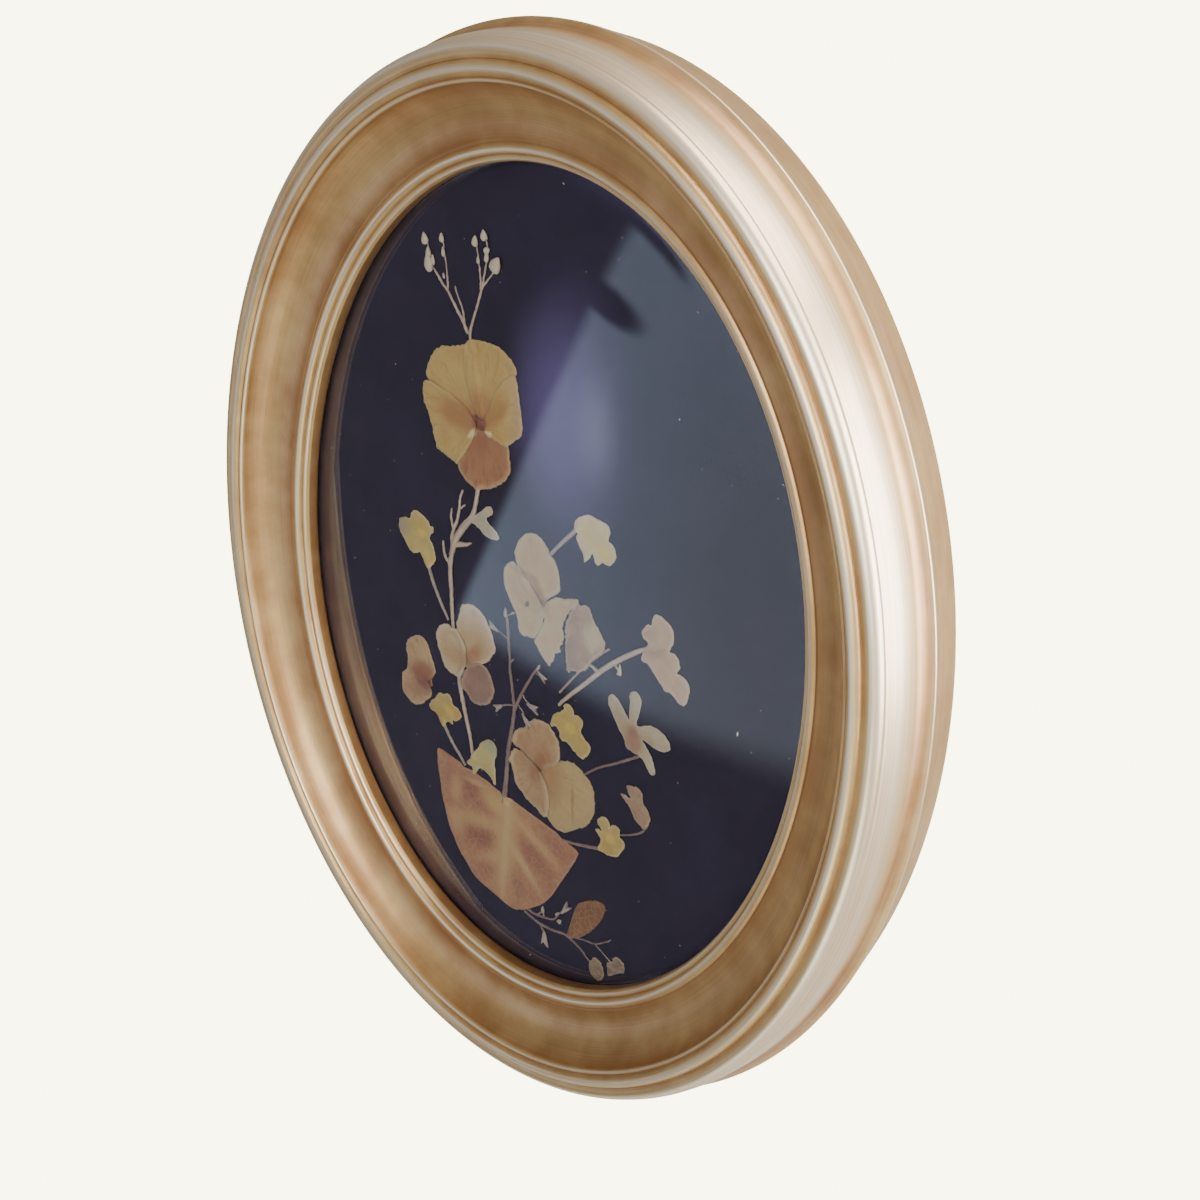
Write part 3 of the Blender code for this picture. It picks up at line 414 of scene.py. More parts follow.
PETAL_FINISHES = {
    "straw petal": ((176, 149, 102), (166, 134, 88), (170, 152, 110), (146, 112, 70), 15, 0.45, 1.2, STRAW_MARKS),
    "russet lip": (
        (156, 109, 74), (148, 100, 66), (168, 138, 106), (124, 78, 50), 16, 0.6, 1.8,
        STRAW_MARKS[3:] + (((134, 84, 56), 0.5, -29.0, 36.5, 5.0, 2.6, 90, 0.6),),
    ),
    "cream petal": (
        (176, 158, 112), (166, 142, 92), (178, 166, 130), (156, 132, 84), 12, 0.3, 1.2,
        (((140, 134, 116), 0.8, -56.6, -5.8, 4.2, 3.4, 0, 0.5),
         ((196, 172, 104), 0.8, -47.4, -3.6, 2.0, 1.4, 20, 0.5)),
    ),
    "peach petal": (
        (180, 158, 132), (172, 142, 110), (184, 168, 146), (150, 112, 82), 15, 0.35, 2.2,
        (((152, 106, 74), 0.85, -19.6, -29.5, 5.6, 2.4, 60, 0.7), ((158, 122, 92), 0.6, -27.0, -34, 5, 3, 10, 0.7)),
    ),
    "mauve lip": ((140, 110, 96), (130, 98, 84), (156, 130, 114), (110, 76, 64), 18, 0.6, 1.4, ()),
    "side viola petal": (
        (174, 148, 116), (152, 120, 90), (172, 148, 120), (128, 88, 62), 14, 0.45, 1.6,
        (((122, 70, 52), 0.95, -37.6, -50.6, 4.2, 3.8, 0, 0.7),
         ((136, 88, 64), 0.8, -40.0, -48.4, 5.4, 2.8, 30, 0.7),
          ((146, 108, 82), 0.6, -40.5, -57.0, 4.0, 3.2, 0, 0.7)),
    ),
    "butter petal": (
        (172, 151, 108), (160, 134, 84), (178, 164, 126), (144, 118, 74), 11, 0.35, 1.0,
        (((196, 168, 92), 0.7, -25.6, -54.2, 2.0, 1.3, 0, 0.5),
         ((196, 170, 100), 0.6, 21.5, -27.8, 2.4, 1.6, 20, 0.5),
         ((196, 170, 100), 0.6, 43.4, -51.6, 1.8, 1.4, 20, 0.5)),
    ),
    "green petal": (
        (174, 160, 122), (162, 146, 106), (180, 168, 134), (146, 134, 96), 9, 0.3, 1.0,
        (((142, 144, 122), 0.9, -6.8, -54.6, 3.4, 2.8, 0, 0.5),),
    ),
    "pale peach petal": (
        (176, 154, 124), (168, 142, 108), (172, 158, 136), (150, 122, 92), 16, 0.4, 2.0,
        (((144, 106, 78), 0.8, 1.4, 5.2, 4.4, 1.8, -40, 0.7), ((74, 62, 62), 0.9, -2.2, -0.6, 1.2, 0.7, 60, 0.35),
         ((140, 112, 90), 0.5, -5.0, 7.6, 5.0, 1.0, 10, 0.6)),
    ),
    "crumpled petal": (
        (168, 143, 122), (140, 110, 90), (174, 154, 132), (118, 88, 70), 18, 0.7, 1.2,
        (((182, 168, 142), 0.7, 22.6, 4.0, 3.6, 4.6, 0, 0.6), ((136, 106, 92), 0.6, 17.4, -5.0, 2.0, 6.0, 10, 0.6)),
    ),
    "white petal": (
        (192, 178, 148), (184, 164, 116), (190, 180, 160), (166, 146, 110), 12, 0.35, 1.2,
        (((196, 184, 120), 0.6, 20.5, 29.8, 2.2, 1.6, 0, 0.6),),
    ),
    "blush petal": (
        (180, 156, 136), (170, 140, 116), (188, 170, 154), (148, 114, 92), 14, 0.45, 1.4,
        (((152, 118, 98), 0.6, 43.2, 12.6, 3.4, 1.6, 30, 0.6),),
    ),
    "wide peach petal": (
        (168, 139, 108), (154, 120, 88), (170, 148, 124), (134, 96, 68), 17, 0.45, 2.0,
        (((134, 88, 56), 0.95, 13.0, -46.6, 5.0, 1.5, 72, 0.7),
         ((146, 104, 72), 0.8, 13.2, -47.6, 7.6, 3.4, 78, 0.8),
          ((150, 108, 78), 0.6, 6.4, -46.0, 3.0, 6.0, 0, 0.8)),
    ),
    "wide straw petal": (
        (170, 148, 112), (160, 134, 98), (158, 140, 112), (140, 112, 80), 16, 0.35, 1.8,
        (((150, 108, 74), 0.75, 17.4, -49.0, 4.6, 6.4, 0, 0.8),
         ((138, 104, 72), 0.6, 27.6, -50.6, 0.6, 6.0, 14, 0.7)),
    ),
    "star petal": (
        (168, 158, 140), (154, 138, 116), (172, 164, 148), (134, 108, 88), 10, 0.4, 0.9,
        (((150, 112, 94), 0.95, 43.2, -16.6, 3.0, 3.8, 20, 0.5),
         ((140, 100, 82), 0.7, 42.4, -14.0, 1.6, 1.6, 0, 0.6)),
    ),
    "brown petal": ((154, 128, 106), (138, 108, 88), (158, 136, 116), (118, 86, 70), 12, 0.5, 1.0, ()),
    "pale floret petal": ((172, 164, 150), (156, 144, 128), (178, 172, 160), (140, 126, 112), 8, 0.3, 0.8, ()),
}
LEAF_MARKS = (
    ((132, 80, 60), 0.85, -11.5, -75.5, 8.0, 4.4, 15, 0.7),
    ((132, 80, 58), 0.9, -5.5, -88.6, 7.5, 3.8, 32, 0.7),
    ((138, 88, 66), 0.6, 0.5, -98.0, 5.0, 3.0, 40, 0.8),
    ((136, 86, 64), 0.8, 18.0, -79.2, 8.5, 3.6, -18, 0.7),
    ((140, 92, 72), 0.7, 24.5, -69.6, 6.0, 2.6, -20, 0.7),
    ((136, 90, 72), 0.7, 13.0, -93.0, 5.0, 2.2, -35, 0.7),
    ((142, 96, 78), 0.7, -22.0, -74.5, 3.0, 6.0, 10, 0.7),
    ((172, 136, 96), 0.75, -17.6, -78.6, 2.6, 4.4, 0, 0.8),
    ((170, 134, 96), 0.7, -15.0, -90.4, 3.4, 4.2, 0, 0.8),
    ((176, 142, 100), 0.85, -0.6, -72.0, 6.4, 3.6, 10, 0.8),
    ((174, 142, 104), 0.7, 6.4, -84.0, 17.0, 4.2, -84, 0.95),
    ((180, 152, 118), 0.6, 4.9, -74.0, 9.0, 1.4, -84, 0.9),
    ((180, 152, 118), 0.6, 6.8, -90.0, 11.0, 1.3, -83, 0.9),
    ((178, 150, 114), 0.7, 14.4, -85.1, 7.8, 1.5, -28, 0.95),
    ((174, 142, 106), 0.65, 16.0, -73.0, 9.0, 1.7, -10, 0.95),
    ((172, 138, 100), 0.6, -4.4, -82.8, 11.0, 2.2, 28, 0.95),
    ((170, 136, 100), 0.55, 0.8, -92.7, 6.4, 1.7, 43, 0.95),
    ((176, 146, 110), 0.6, -10.0, -71.0, 5.0, 1.0, 20, 0.7),
    ((126, 86, 72), 0.5, 14.0, -97.0, 4.0, 0.7, -50, 0.7),
)


def leaf_finish(name, main, deep, rim, veins, marks):
    """A dry leaf: petal shading under a net of pale veins."""
    material = petal_finish(name, main, deep, rim, veins, 8, 0.2, 0.8, marks, 0.009)
    tree = material.node_tree
    shader = tree.nodes["Principled BSDF"]
    before = shader.inputs["Base Color"].links[0].from_socket
    net = lay(tree, "ShaderNodeTexVoronoi", {"Vector": place_of(tree), "Scale": 430.0}, feature="DISTANCE_TO_EDGE")
    line = ramp(tree, net.outputs[0], 0.0, 0.09, 0.28, 0.0)
    tree.links.new(mixed(tree, line, before, paint(176, 144, 112)), shader.inputs["Base Color"])
    return material


def fixing_finish(name, main, deep, metallic, rough, size):
    """Board, card or steel: mottled, with a fine tooth."""
    material, tree, shader = new_material(name)
    place = place_of(tree)
    cloud = mottle(tree, place, size, 1.2)
    tooth = noise_of(tree, place, 1800.0, 4.0, 0.7)
    share = maths(tree, "MULTIPLY_ADD", cloud, 0.6, maths(tree, "MULTIPLY", tooth, 0.4))
    feed(tree, shader, Base_Color=mixed(tree, share, main, deep), Metallic=metallic)
    feed(tree, shader, Roughness=maths(tree, "MULTIPLY_ADD", tooth, 0.2, rough), Normal=bump(tree, tooth, 0.0001, 0.5))
    return material


# ---------------------------------------------------------------- Geometry Nodes helpers


def new_shape_tree(name, inputs):
    """A Geometry Nodes tree with a geometry input and output and the named inputs."""
    tree = bpy.data.node_groups.new(name, "GeometryNodeTree")
    tree.interface.new_socket(name="Geometry", in_out="INPUT", socket_type="NodeSocketGeometry")
    for label, kind in inputs.items():
        tree.interface.new_socket(name=label, in_out="INPUT", socket_type="NodeSocket" + kind)
    tree.interface.new_socket(name="Geometry", in_out="OUTPUT", socket_type="NodeSocketGeometry")
    return tree, tree.nodes.new("NodeGroupInput").outputs, tree.nodes.new("NodeGroupOutput").inputs


def named(tree, label):
    """A number kept on the mesh under this name."""
    return lay(tree, "GeometryNodeInputNamedAttribute", {"Name": label}, data_type="FLOAT").outputs[0]


def together(tree, *parts):
    """The parts joined into one geometry."""
    both = tree.nodes.new("GeometryNodeJoinGeometry")
    for part in parts:
        tree.links.new(part, both.inputs[0])
    return both.outputs[0]


def finish_tree(tree, geometry, material, output):
    """Ends a tree in smooth shading, Set Material and Realize Instances."""
    smooth = lay(tree, "GeometryNodeSetShadeSmooth", {"Geometry": geometry}).outputs[0]
    dressed = lay(tree, "GeometryNodeSetMaterial", {"Geometry": smooth, "Material": material}).outputs[0]
    real = lay(tree, "GeometryNodeRealizeInstances", {"Geometry": dressed}).outputs[0]
    tree.links.new(real, output)


def grown(name, source, tree, values):
    """The plain mesh object that the tree makes from the source mesh."""
    seed = bpy.data.objects.new(name + "_source", source)
    bpy.context.scene.collection.objects.link(seed)
    modifier = seed.modifiers.new("Shape", "NODES")
    modifier.node_group = tree
    for item in tree.interface.items_tree:
        if item.item_type == "SOCKET" and item.in_out == "INPUT" and item.name in values:
            modifier[item.identifier] = values[item.name]
    bpy.context.view_layer.update()
    shape = seed.evaluated_get(bpy.context.evaluated_depsgraph_get())
    mesh = bpy.data.meshes.new_from_object(shape)
    bpy.data.objects.remove(seed)
    mesh.name = name
    piece = bpy.data.objects.new(name, mesh)
    bpy.context.scene.collection.objects.link(piece)
    if not mesh.polygons:
        raise RuntimeError(f"{name} came out empty")
    return piece


def face_outwards(mesh):
    builder = bmesh.new()
    builder.from_mesh(mesh)
    bmesh.ops.recalc_face_normals(builder, faces=builder.faces)
    builder.to_mesh(mesh)
    builder.free()


def settle(piece, slot_name, *nodes):
    """Puts a finished piece on the frame, in place of its CAD nodes."""
    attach(piece, "root")
    if nodes:
        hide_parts(*nodes)
    return piece


def make_oval_sweep_tree():
    """Carries a section round the oval. A section point holds outward and forward; share shrinks its ring."""
    inputs = {"Half width": "Float", "Half height": "Float", "Back": "Float", "Steps": "Int", "Material": "Material"}
    tree, given, made = new_shape_tree("Oval sweep", inputs)
    section = given["Geometry"]
    count = lay(tree, "GeometryNodeAttributeDomainSize", {"Geometry": section}).outputs["Point Count"]
    ring = maths(tree, "ADD", given["Steps"], 1.0)
    grid = lay(tree, "GeometryNodeMeshGrid", {"Vertices X": count, "Vertices Y": ring}).outputs["Mesh"]
    index = lay(tree, "GeometryNodeInputIndex").outputs[0]
    row = maths(tree, "FLOOR", maths(tree, "DIVIDE", maths(tree, "ADD", index, 0.25), ring))
    step = maths(tree, "SUBTRACT", index, maths(tree, "MULTIPLY", row, ring))
    angle = maths(tree, "DIVIDE", maths(tree, "MULTIPLY", step, 2 * math.pi), given["Steps"])
    spot = {"Geometry": section, "Value": lay(tree, "GeometryNodeInputPosition").outputs[0], "Index": row}
    found = lay(tree, "GeometryNodeSampleIndex", spot, data_type="FLOAT_VECTOR").outputs[0]
    outward, forward, share = split(tree, found)
    across = maths(tree, "MULTIPLY", maths(tree, "ADD", given["Half width"], outward), share)
    up = maths(tree, "MULTIPLY", maths(tree, "ADD", given["Half height"], outward), share)
    x = maths(tree, "MULTIPLY", across, maths(tree, "COSINE", angle))
    z = maths(tree, "MULTIPLY", up, maths(tree, "SINE", angle))
    y = maths(tree, "SUBTRACT", given["Back"], forward)
    moved = lay(tree, "GeometryNodeSetPosition", {"Geometry": grid, "Position": joined(tree, x, y, z)}).outputs[0]
    spot = {"Geometry": section, "Value": named(tree, "hollow"), "Index": row}
    kept = {
        "outward": maths(tree, "MULTIPLY", outward, 1 / MM),
        "forward": maths(tree, "MULTIPLY", forward, 1 / MM),
        "hollow": lay(tree, "GeometryNodeSampleIndex", spot, data_type="FLOAT").outputs[0],
    }
    for label, value in kept.items():
        store = {"Geometry": moved, "Name": label, "Value": value}
        moved = lay(tree, "GeometryNodeStoreNamedAttribute", store, data_type="FLOAT", domain="POINT").outputs[0]
    welded = lay(tree, "GeometryNodeMergeByDistance", {"Geometry": moved, "Distance": 0.000002}).outputs[0]
    finish_tree(tree, welded, given["Material"], made["Geometry"])
    return tree


def section_mesh(points):
    """A mesh of section points (outward, forward, share, hollow), the first three kept as its position."""
    mesh = bpy.data.meshes.new("section")
    mesh.from_pydata([point[:3] for point in points], [], [])
    values = mesh.attributes.new("hollow", "FLOAT", "POINT").data
    for item, point in zip(values, points):
        item.value = point[3]
    return mesh


def swept(name, points, material):
    """A closed oval piece made from its section."""
    sizes = bpy.context.scene.frame_sizes
    tree = bpy.data.node_groups.get("Oval sweep") or make_oval_sweep_tree()
    values = {
        "Half width": sizes.half_width,
        "Half height": sizes.half_height,
        "Back": sizes.back,
        "Steps": sizes.ring_steps,
        "Material": material,
    }
    piece = grown(name, section_mesh([*points, points[0]]), tree, values)
    face_outwards(piece.data)
    return piece


# ---------------------------------------------------------------- the frame


def bow(start, end, rise, steps):
    """Points after start, up to end, on the circular arc that rises from their chord, to its left."""
    first, last = Vector(start), Vector(end)
    if not rise:
        return [tuple(first.lerp(last, step / steps)) for step in range(1, steps + 1)]
    chord = last - first
    half = chord.length / 2
    radius = (half * half + rise * rise) / (2 * abs(rise))
    side = Vector((-chord.y, chord.x)).normalized() * math.copysign(1, rise)
    centre = (first + last) / 2 - side * (radius - abs(rise))
    turn = 2 * math.asin(min(1.0, half / radius)) * -math.copysign(1, rise)
    spoke = first - centre
    points = []
    for step in range(1, steps + 1):
        points.append(tuple(centre + Matrix.Rotation(turn * step / steps, 2) @ spoke))
    return points


# The moulding's section from the glass seat over the front to the back rim, in millimetres:
# outward, forward, rise of the arc that ends there, its steps, hollowness halfway and at the end.
MOULDING_CORNERS = (
    (0.0, 12.7, 0, 1, 0.9, 0.9), (0.0, 15.4, 0, 3, 0.85, 0.7),
    (0.25, 15.95, 0.1, 3, 0.4, 0.4), (1.65, 16.9, 0.42, 8, 0.02, 0.55),
    (1.9, 16.95, -0.05, 2, 1.0, 0.6), (4.5, 18.0, 0.9, 12, 0.0, 0.6),
    (4.95, 18.1, -0.1, 3, 1.0, 0.8), (18.8, 25.9, -2.6, 30, 0.46, 0.7),
    (19.15, 27.0, 0.08, 4, 0.5, 0.1), (19.9, 27.4, 0.12, 4, 0.05, 0.6),
    (20.3, 27.4, -0.08, 3, 1.0, 0.6), (24.05, 27.15, 1.3, 16, 0.0, 0.5),
    (24.4, 27.0, -0.06, 3, 0.95, 0.5), (28.5, 25.2, 1.25, 14, 0.02, 0.1),
    (28.95, 24.5, 0.1, 4, 0.05, 0.1), (30.1, 16.5, 0.3, 12, 0.04, 0.2),
    (32.2, 12.3, -0.7, 10, 0.75, 0.3), (32.35, 11.8, 0.1, 3, 0.0, 0.05),
    (32.1, 11.0, 0.05, 3, 0.25, 0.4), (29.35, 0.4, 0, 12, 0.45, 0.4),
    (29.0, 0.0, 0.08, 3, 0.2, 0.3), (3.7, 0.0, 0, 10, 0.6, 0.6),
    (3.5, 0.3, 0, 1, 0.6, 0.6), (3.5, 12.1, 0, 6, 0.8, 0.9),
    (3.3, 12.4, 0, 1, 0.9, 0.9), (0.2, 12.4, 0, 3, 0.9, 0.9),
)


def moulding_points():
    """The section in metres with its hollowness, each corner rounded a little."""
    points = [(0.0, 12.7, 0.9)]
    for outward, forward, rise, steps, middle, end in MOULDING_CORNERS[1:]:
        before = points[-1][2]
        for step, (across, up) in enumerate(bow(points[-1][:2], (outward, forward), rise, steps), 1):
            share = step / steps
            near = before + (middle - before) * min(1, share * 2)
            hollow = near + (end - near) * max(0, share * 2 - 1)
            points.append((across, up, hollow))
    return [(across * MM, up * MM, 1.0, hollow) for across, up, hollow in points]


class FLOWERFRAME_OT_moulding(bpy.types.Operator):
    """Make the gilt oval moulding"""

    bl_idname = "flower_frame.moulding"
    bl_label = "Gilt moulding"

    def execute(self, context):
        piece = swept("gilt_moulding", moulding_points(), gilt_finish(context.scene.frame_colours))
        settle(piece, "gilt", "moulding")
        return {"FINISHED"}


def dome_points(seat, rise, edge):
    """One skin of the bent glass, from the middle to its rim, as section points."""
    points = []
    rings = 48
    for ring in range(rings + 1):
        share = 1 - (1 - ring / rings) ** 1.4
        bowl = 1 - share * share
        lift = rise * bowl * bowl / (bowl + EASE) * (1 + EASE)
        points.append((-0.0005, seat + lift, share, 0.0))
    points.append((edge, seat, 1.0, 0.0))
    return points


class FLOWERFRAME_OT_glass(bpy.types.Operator):
    """Make the domed glass"""

    bl_idname = "flower_frame.glass"
    bl_label = "Domed glass"

    def execute(self, context):
        sizes = context.scene.frame_sizes
        seat = sizes.back - GLASS_BACK
        back, front = (
            dome_points(seat + depth, sizes.glass_rise, sizes.pack_margin) for depth in (0, sizes.glass_thickness)
        )
        piece = swept("domed_glass", front + back[::-1], glass_finish())
        settle(piece, "glass", "glass")
        return {"FINISHED"}


class FLOWERFRAME_OT_velvet(bpy.types.Operator):
    """Stretch the velvet over its card"""

    bl_idname = "flower_frame.velvet"
    bl_label = "Velvet"

    def execute(self, context):
        sizes = context.scene.frame_sizes
        face, back = sizes.back - VELVET_LOW.y, sizes.back - VELVET_HIGH.y
        edge = sizes.pack_margin
        rings = 24
        points = [(edge, face, ring / rings, 0.0) for ring in range(rings + 1)]
        points += [(edge, back, 1.0, 0.0), (edge, back, 0.0, 0.0)]
        piece = swept("velvet_cloth", points, velvet_finish(context.scene.frame_colours))
        settle(piece, "velvet", "velvet")
        return {"FINISHED"}


# What the names start with, then the finish: name, two colours, metal, roughness and size of its mottle.
FIXINGS = (
    ("backing_board", "brown hardboard", (0.25, 0.14, 0.07), (0.36, 0.22, 0.12), 0.0, 0.6, 0.012),
    ("mount_card", "mount card", (0.62, 0.56, 0.45), (0.7, 0.65, 0.55), 0.0, 0.75, 0.02),
    ("point_", "dull steel", (0.42, 0.41, 0.4), (0.56, 0.55, 0.53), 1.0, 0.3, 0.004),
    ("hanger", "plated hanger", (0.55, 0.46, 0.3), (0.66, 0.58, 0.42), 1.0, 0.25, 0.005),
)


class FLOWERFRAME_OT_fixings(bpy.types.Operator):
    """Give the board, card, points and hanger their finishes"""

    bl_idname = "flower_frame.fixings"
    bl_label = "Board and fixings"

    def execute(self, context):
        for start, *finish in FIXINGS:
            material = fixing_finish(*finish)
            for name, node in NODES.items():
                if name.startswith(start):
                    node.data.materials.clear()
                    node.data.materials.append(material)
        return {"FINISHED"}


# ---------------------------------------------------------------- laying the posy


def node_outline(name):
    """The outline of a flat CAD node as (x, z) points in metres, in order."""
    builder = bmesh.new()
    builder.from_mesh(NODES[name].data)
    bmesh.ops.remove_doubles(builder, verts=builder.verts, dist=1e-6)
    following = {}
    for face in builder.faces:
        if face.normal.y > -0.9:
            continue
        for loop in face.loops:
            other = [near for near in loop.edge.link_faces if near is not face]
            if not other or other[0].normal.y > -0.9:
                following[loop.vert.index] = (loop.link_loop_next.vert.index, loop.vert.co.copy())
    builder.free()
    index = next(iter(following))
    outline = []
    for _ in following:
        index, spot = following[index]
        outline.append((spot.x, spot.z))
    return np.array(outline)


def rounded_outline(outline, passes, spacing):
    """Corners cut off passes times, then points at an even spacing."""
    points = outline
    for _ in range(passes):
        ahead = np.roll(points, -1, axis=0)
        points = np.stack([points * 0.75 + ahead * 0.25, points * 0.25 + ahead * 0.75], axis=1).reshape(-1, 2)
    closed = np.vstack([points, points[:1]])
    lengths = np.hypot(*np.diff(closed, axis=0).T)
    along = np.concatenate([[0], np.cumsum(lengths)])
    count = max(12, int(along[-1] / spacing))
    wanted = np.linspace(0, along[-1], count, endpoint=False)
    return np.stack([np.interp(wanted, along, closed[:, axis]) for axis in (0, 1)], axis=1)


def ragged(outline, amount, size=0.0011, swell=0.0):
    """The outline widened by swell, then moved in and out a little, as a dry edge is."""
    ahead = np.roll(outline, -1, axis=0) - np.roll(outline, 1, axis=0)
    across = np.stack([ahead[:, 1], -ahead[:, 0]], axis=1)
    across /= np.maximum(np.hypot(*across.T), 1e-9)[:, None]
    following = np.roll(outline, -1, axis=0)
    across *= np.sign((outline[:, 0] * following[:, 1] - following[:, 0] * outline[:, 1]).sum())
    waves = []
    for x, z in outline:
        broad = noise.noise(Vector((x, 1.7, z)) / (size * 3))
        fine = noise.noise(Vector((x, 0.9, z)) / (size * 0.5))
        waves.append(noise.noise(Vector((x, 0.3, z)) / size) + 0.6 * broad + 0.5 * fine)
    return outline + across * (np.array(waves) * amount + swell)[:, None]


def inside(points, outline):
    """Which points lie inside the outline."""
    ends = np.roll(outline, -1, axis=0)
    found = np.zeros(len(points), bool)
    for (x0, z0), (x1, z1) in zip(outline, ends):
        crosses = (points[:, 1] < z0) != (points[:, 1] < z1)
        if not crosses.any():
            continue
        meet = x0 + (points[:, 1] - z0) * (x1 - x0) / ((z1 - z0) or 1e-12)
        found ^= crosses & (points[:, 0] < meet)
    return found


def edge_distance(points, outline):
    """How far each point lies from the outline."""
    ends = np.roll(outline, -1, axis=0)
    run = ends - outline
    square = np.maximum((run**2).sum(1), 1e-18)
    nearest = np.full(len(points), 1e9)
    for begin in range(0, len(outline), 64):
        part = slice(begin, begin + 64)
        offset = points[:, None] - outline[None, part]
        share = np.clip((offset * run[part]).sum(2) / square[part], 0, 1)
        gap = offset - share[..., None] * run[part]
        nearest = np.minimum(nearest, np.hypot(gap[..., 0], gap[..., 1]).min(1))
    return nearest


def filled(outline, spacing):
    """Points and triangles that fill the outline evenly."""
    low, high = outline.min(0), outline.max(0)
    rows = []
    for row, z in enumerate(np.arange(low[1], high[1], spacing * 0.866)):
        start = low[0] + (spacing / 2 if row % 2 else 0)
        rows += [(x, z) for x in np.arange(start, high[0], spacing)]
    grid = np.array(rows) if rows else np.zeros((0, 2))
    if len(grid):
        grid = grid[inside(grid, outline)]
    if len(grid):
        grid = grid[edge_distance(grid, outline) > spacing * 0.55]
    scale = 1000.0
    points = [Vector(point) * scale for point in np.vstack([outline, grid])]
    loop = list(range(len(outline)))
    made, _, faces, *_ = delaunay_2d_cdt(points, [], [loop], 1, 1e-6)
    return np.array([tuple(point) for point in made]) / scale, faces


class HeightField:
    """How high the posy stands over the velvet at each place, while it's laid piece by piece."""

    cell = 0.0003

    def __init__(self):
        self.low = np.array([-0.066, -0.112])
        self.size = (np.array([0.132, 0.212]) / self.cell).astype(int)
        self.height = np.zeros(self.size)

    def cells(self, low, high):
        """The cells of a box, as their numbers and their places."""
        start = np.clip(((low - self.low) / self.cell).astype(int), 0, self.size - 1)
        stop = np.clip(((high - self.low) / self.cell).astype(int) + 2, 0, self.size)
        i, j = np.meshgrid(np.arange(start[0], stop[0]), np.arange(start[1], stop[1]), indexing="ij")
        spots = np.stack([i.ravel(), j.ravel()], axis=1)
        return spots, self.low + spots * self.cell

    def lift(self, spots, tops):
        i, j = spots.T
        self.height[i, j] = np.maximum(self.height[i, j], tops)

    def softened(self):
        """The surface as a sheet laid on it would bridge it."""
        field = self.height
        for _ in range(2):
            field = np.maximum.reduce(self.neighbours(field))
        for _ in range(5):
            field = sum(self.neighbours(field)) / 5
        return np.maximum(field, 0)

    @staticmethod
    def neighbours(field):
        """The field moved one cell each way, and as it is."""
        padded = np.pad(field, 1, mode="edge")
        inner = padded[1:-1, 1:-1]
        return [padded[:-2, 1:-1], padded[2:, 1:-1], padded[1:-1, :-2], padded[1:-1, 2:], inner]

    def sample(self, field, points):
        spot = np.clip((points - self.low) / self.cell, 0, self.size - 1.001)
        whole = spot.astype(int)
        part = spot - whole
        i, j = whole.T
        a = field[i, j] * (1 - part[:, 0]) + field[i + 1, j] * part[:, 0]
        b = field[i, j + 1] * (1 - part[:, 0]) + field[i + 1, j + 1] * part[:, 0]
        return a * (1 - part[:, 1]) + b * part[:, 1]

    def raise_along(self, path, thickness):
        """Lifts the field where a stem of this thickness lies."""
        spots, points = self.cells(path.min(0) - thickness, path.max(0) + thickness)
        tops = np.zeros(len(points))
        for begin, end in zip(path, path[1:]):
            run = end - begin
            share = np.clip(((points - begin) @ run) / (run @ run), 0, 1)
            away = np.hypot(*(points - begin - share[:, None] * run).T)
            round_off = np.sqrt(np.clip(1 - (away / (thickness * 0.55)) ** 2, 0, 1))
            tops = np.maximum(tops, thickness * FLATTENED * round_off)
        self.lift(spots, tops)

    def raise_inside(self, outline, top_of):
        """Lifts the field to a piece's top where the piece lies."""
        spots, points = self.cells(outline.min(0), outline.max(0))
        within = inside(points, outline)
        if within.any():
            self.lift(spots[within], top_of(points[within]))


def waves(points, size, seed):
    """Smooth noise at the points, about -1 to 1."""
    return np.array([noise.noise(Vector((x / size, seed, z / size))) for x, z in points])


def lay_piece(name, node, material, slot_name, field, outline, spacing, top_of, bottom_of, base):
    """A closed thin piece between two height rules, with its grain kept for the finish."""
    points, faces = filled(outline, spacing)
    below = field.softened()
    rest = field.sample(below, points)
    edge = edge_distance(points, outline)
    bottom = rest + bottom_of(points, edge)
    top = rest + top_of(points, edge)
    builder = bmesh.new()
    grain = builder.verts.layers.float_vector.new("grain")
    away = (points - np.array(base) * MM).T
    turned, reach = np.arctan2(*away), np.hypot(*away) * 1000
    sides = []
    for heights in (top, bottom):
        ring = []
        for (x, z), height, turn, far, inner in zip(points, heights, turned, reach, edge * 1000):
            vertex = builder.verts.new((x, VELVET_FACE - height, z))
            vertex[grain] = (turn, far * 0.12, inner)
            ring.append(vertex)
        sides.append(ring)
    for face in faces:
        builder.faces.new([sides[0][index] for index in face])
        builder.faces.new([sides[1][index] for index in reversed(face)])
    edges = [pair for face in faces for pair in zip(face, [*face[1:], face[0]])]
    shared = set(edges)
    for index, after in edges:
        if (after, index) not in shared:
            builder.faces.new((sides[0][after], sides[0][index], sides[1][index], sides[1][after]))
    bmesh.ops.recalc_face_normals(builder, faces=builder.faces)
    mesh = bpy.data.meshes.new(name)
    builder.to_mesh(mesh)
    builder.free()
    mesh.shade_smooth()
    mesh.materials.append(material)
    piece = bpy.data.objects.new(name, mesh)
    bpy.context.scene.collection.objects.link(piece)

    def top_at(places):
        return field.sample(below, places) + top_of(places, edge_distance(places, outline))

    field.raise_inside(outline, top_at)
    settle(piece, slot_name, *([node] if node else []))
    return piece


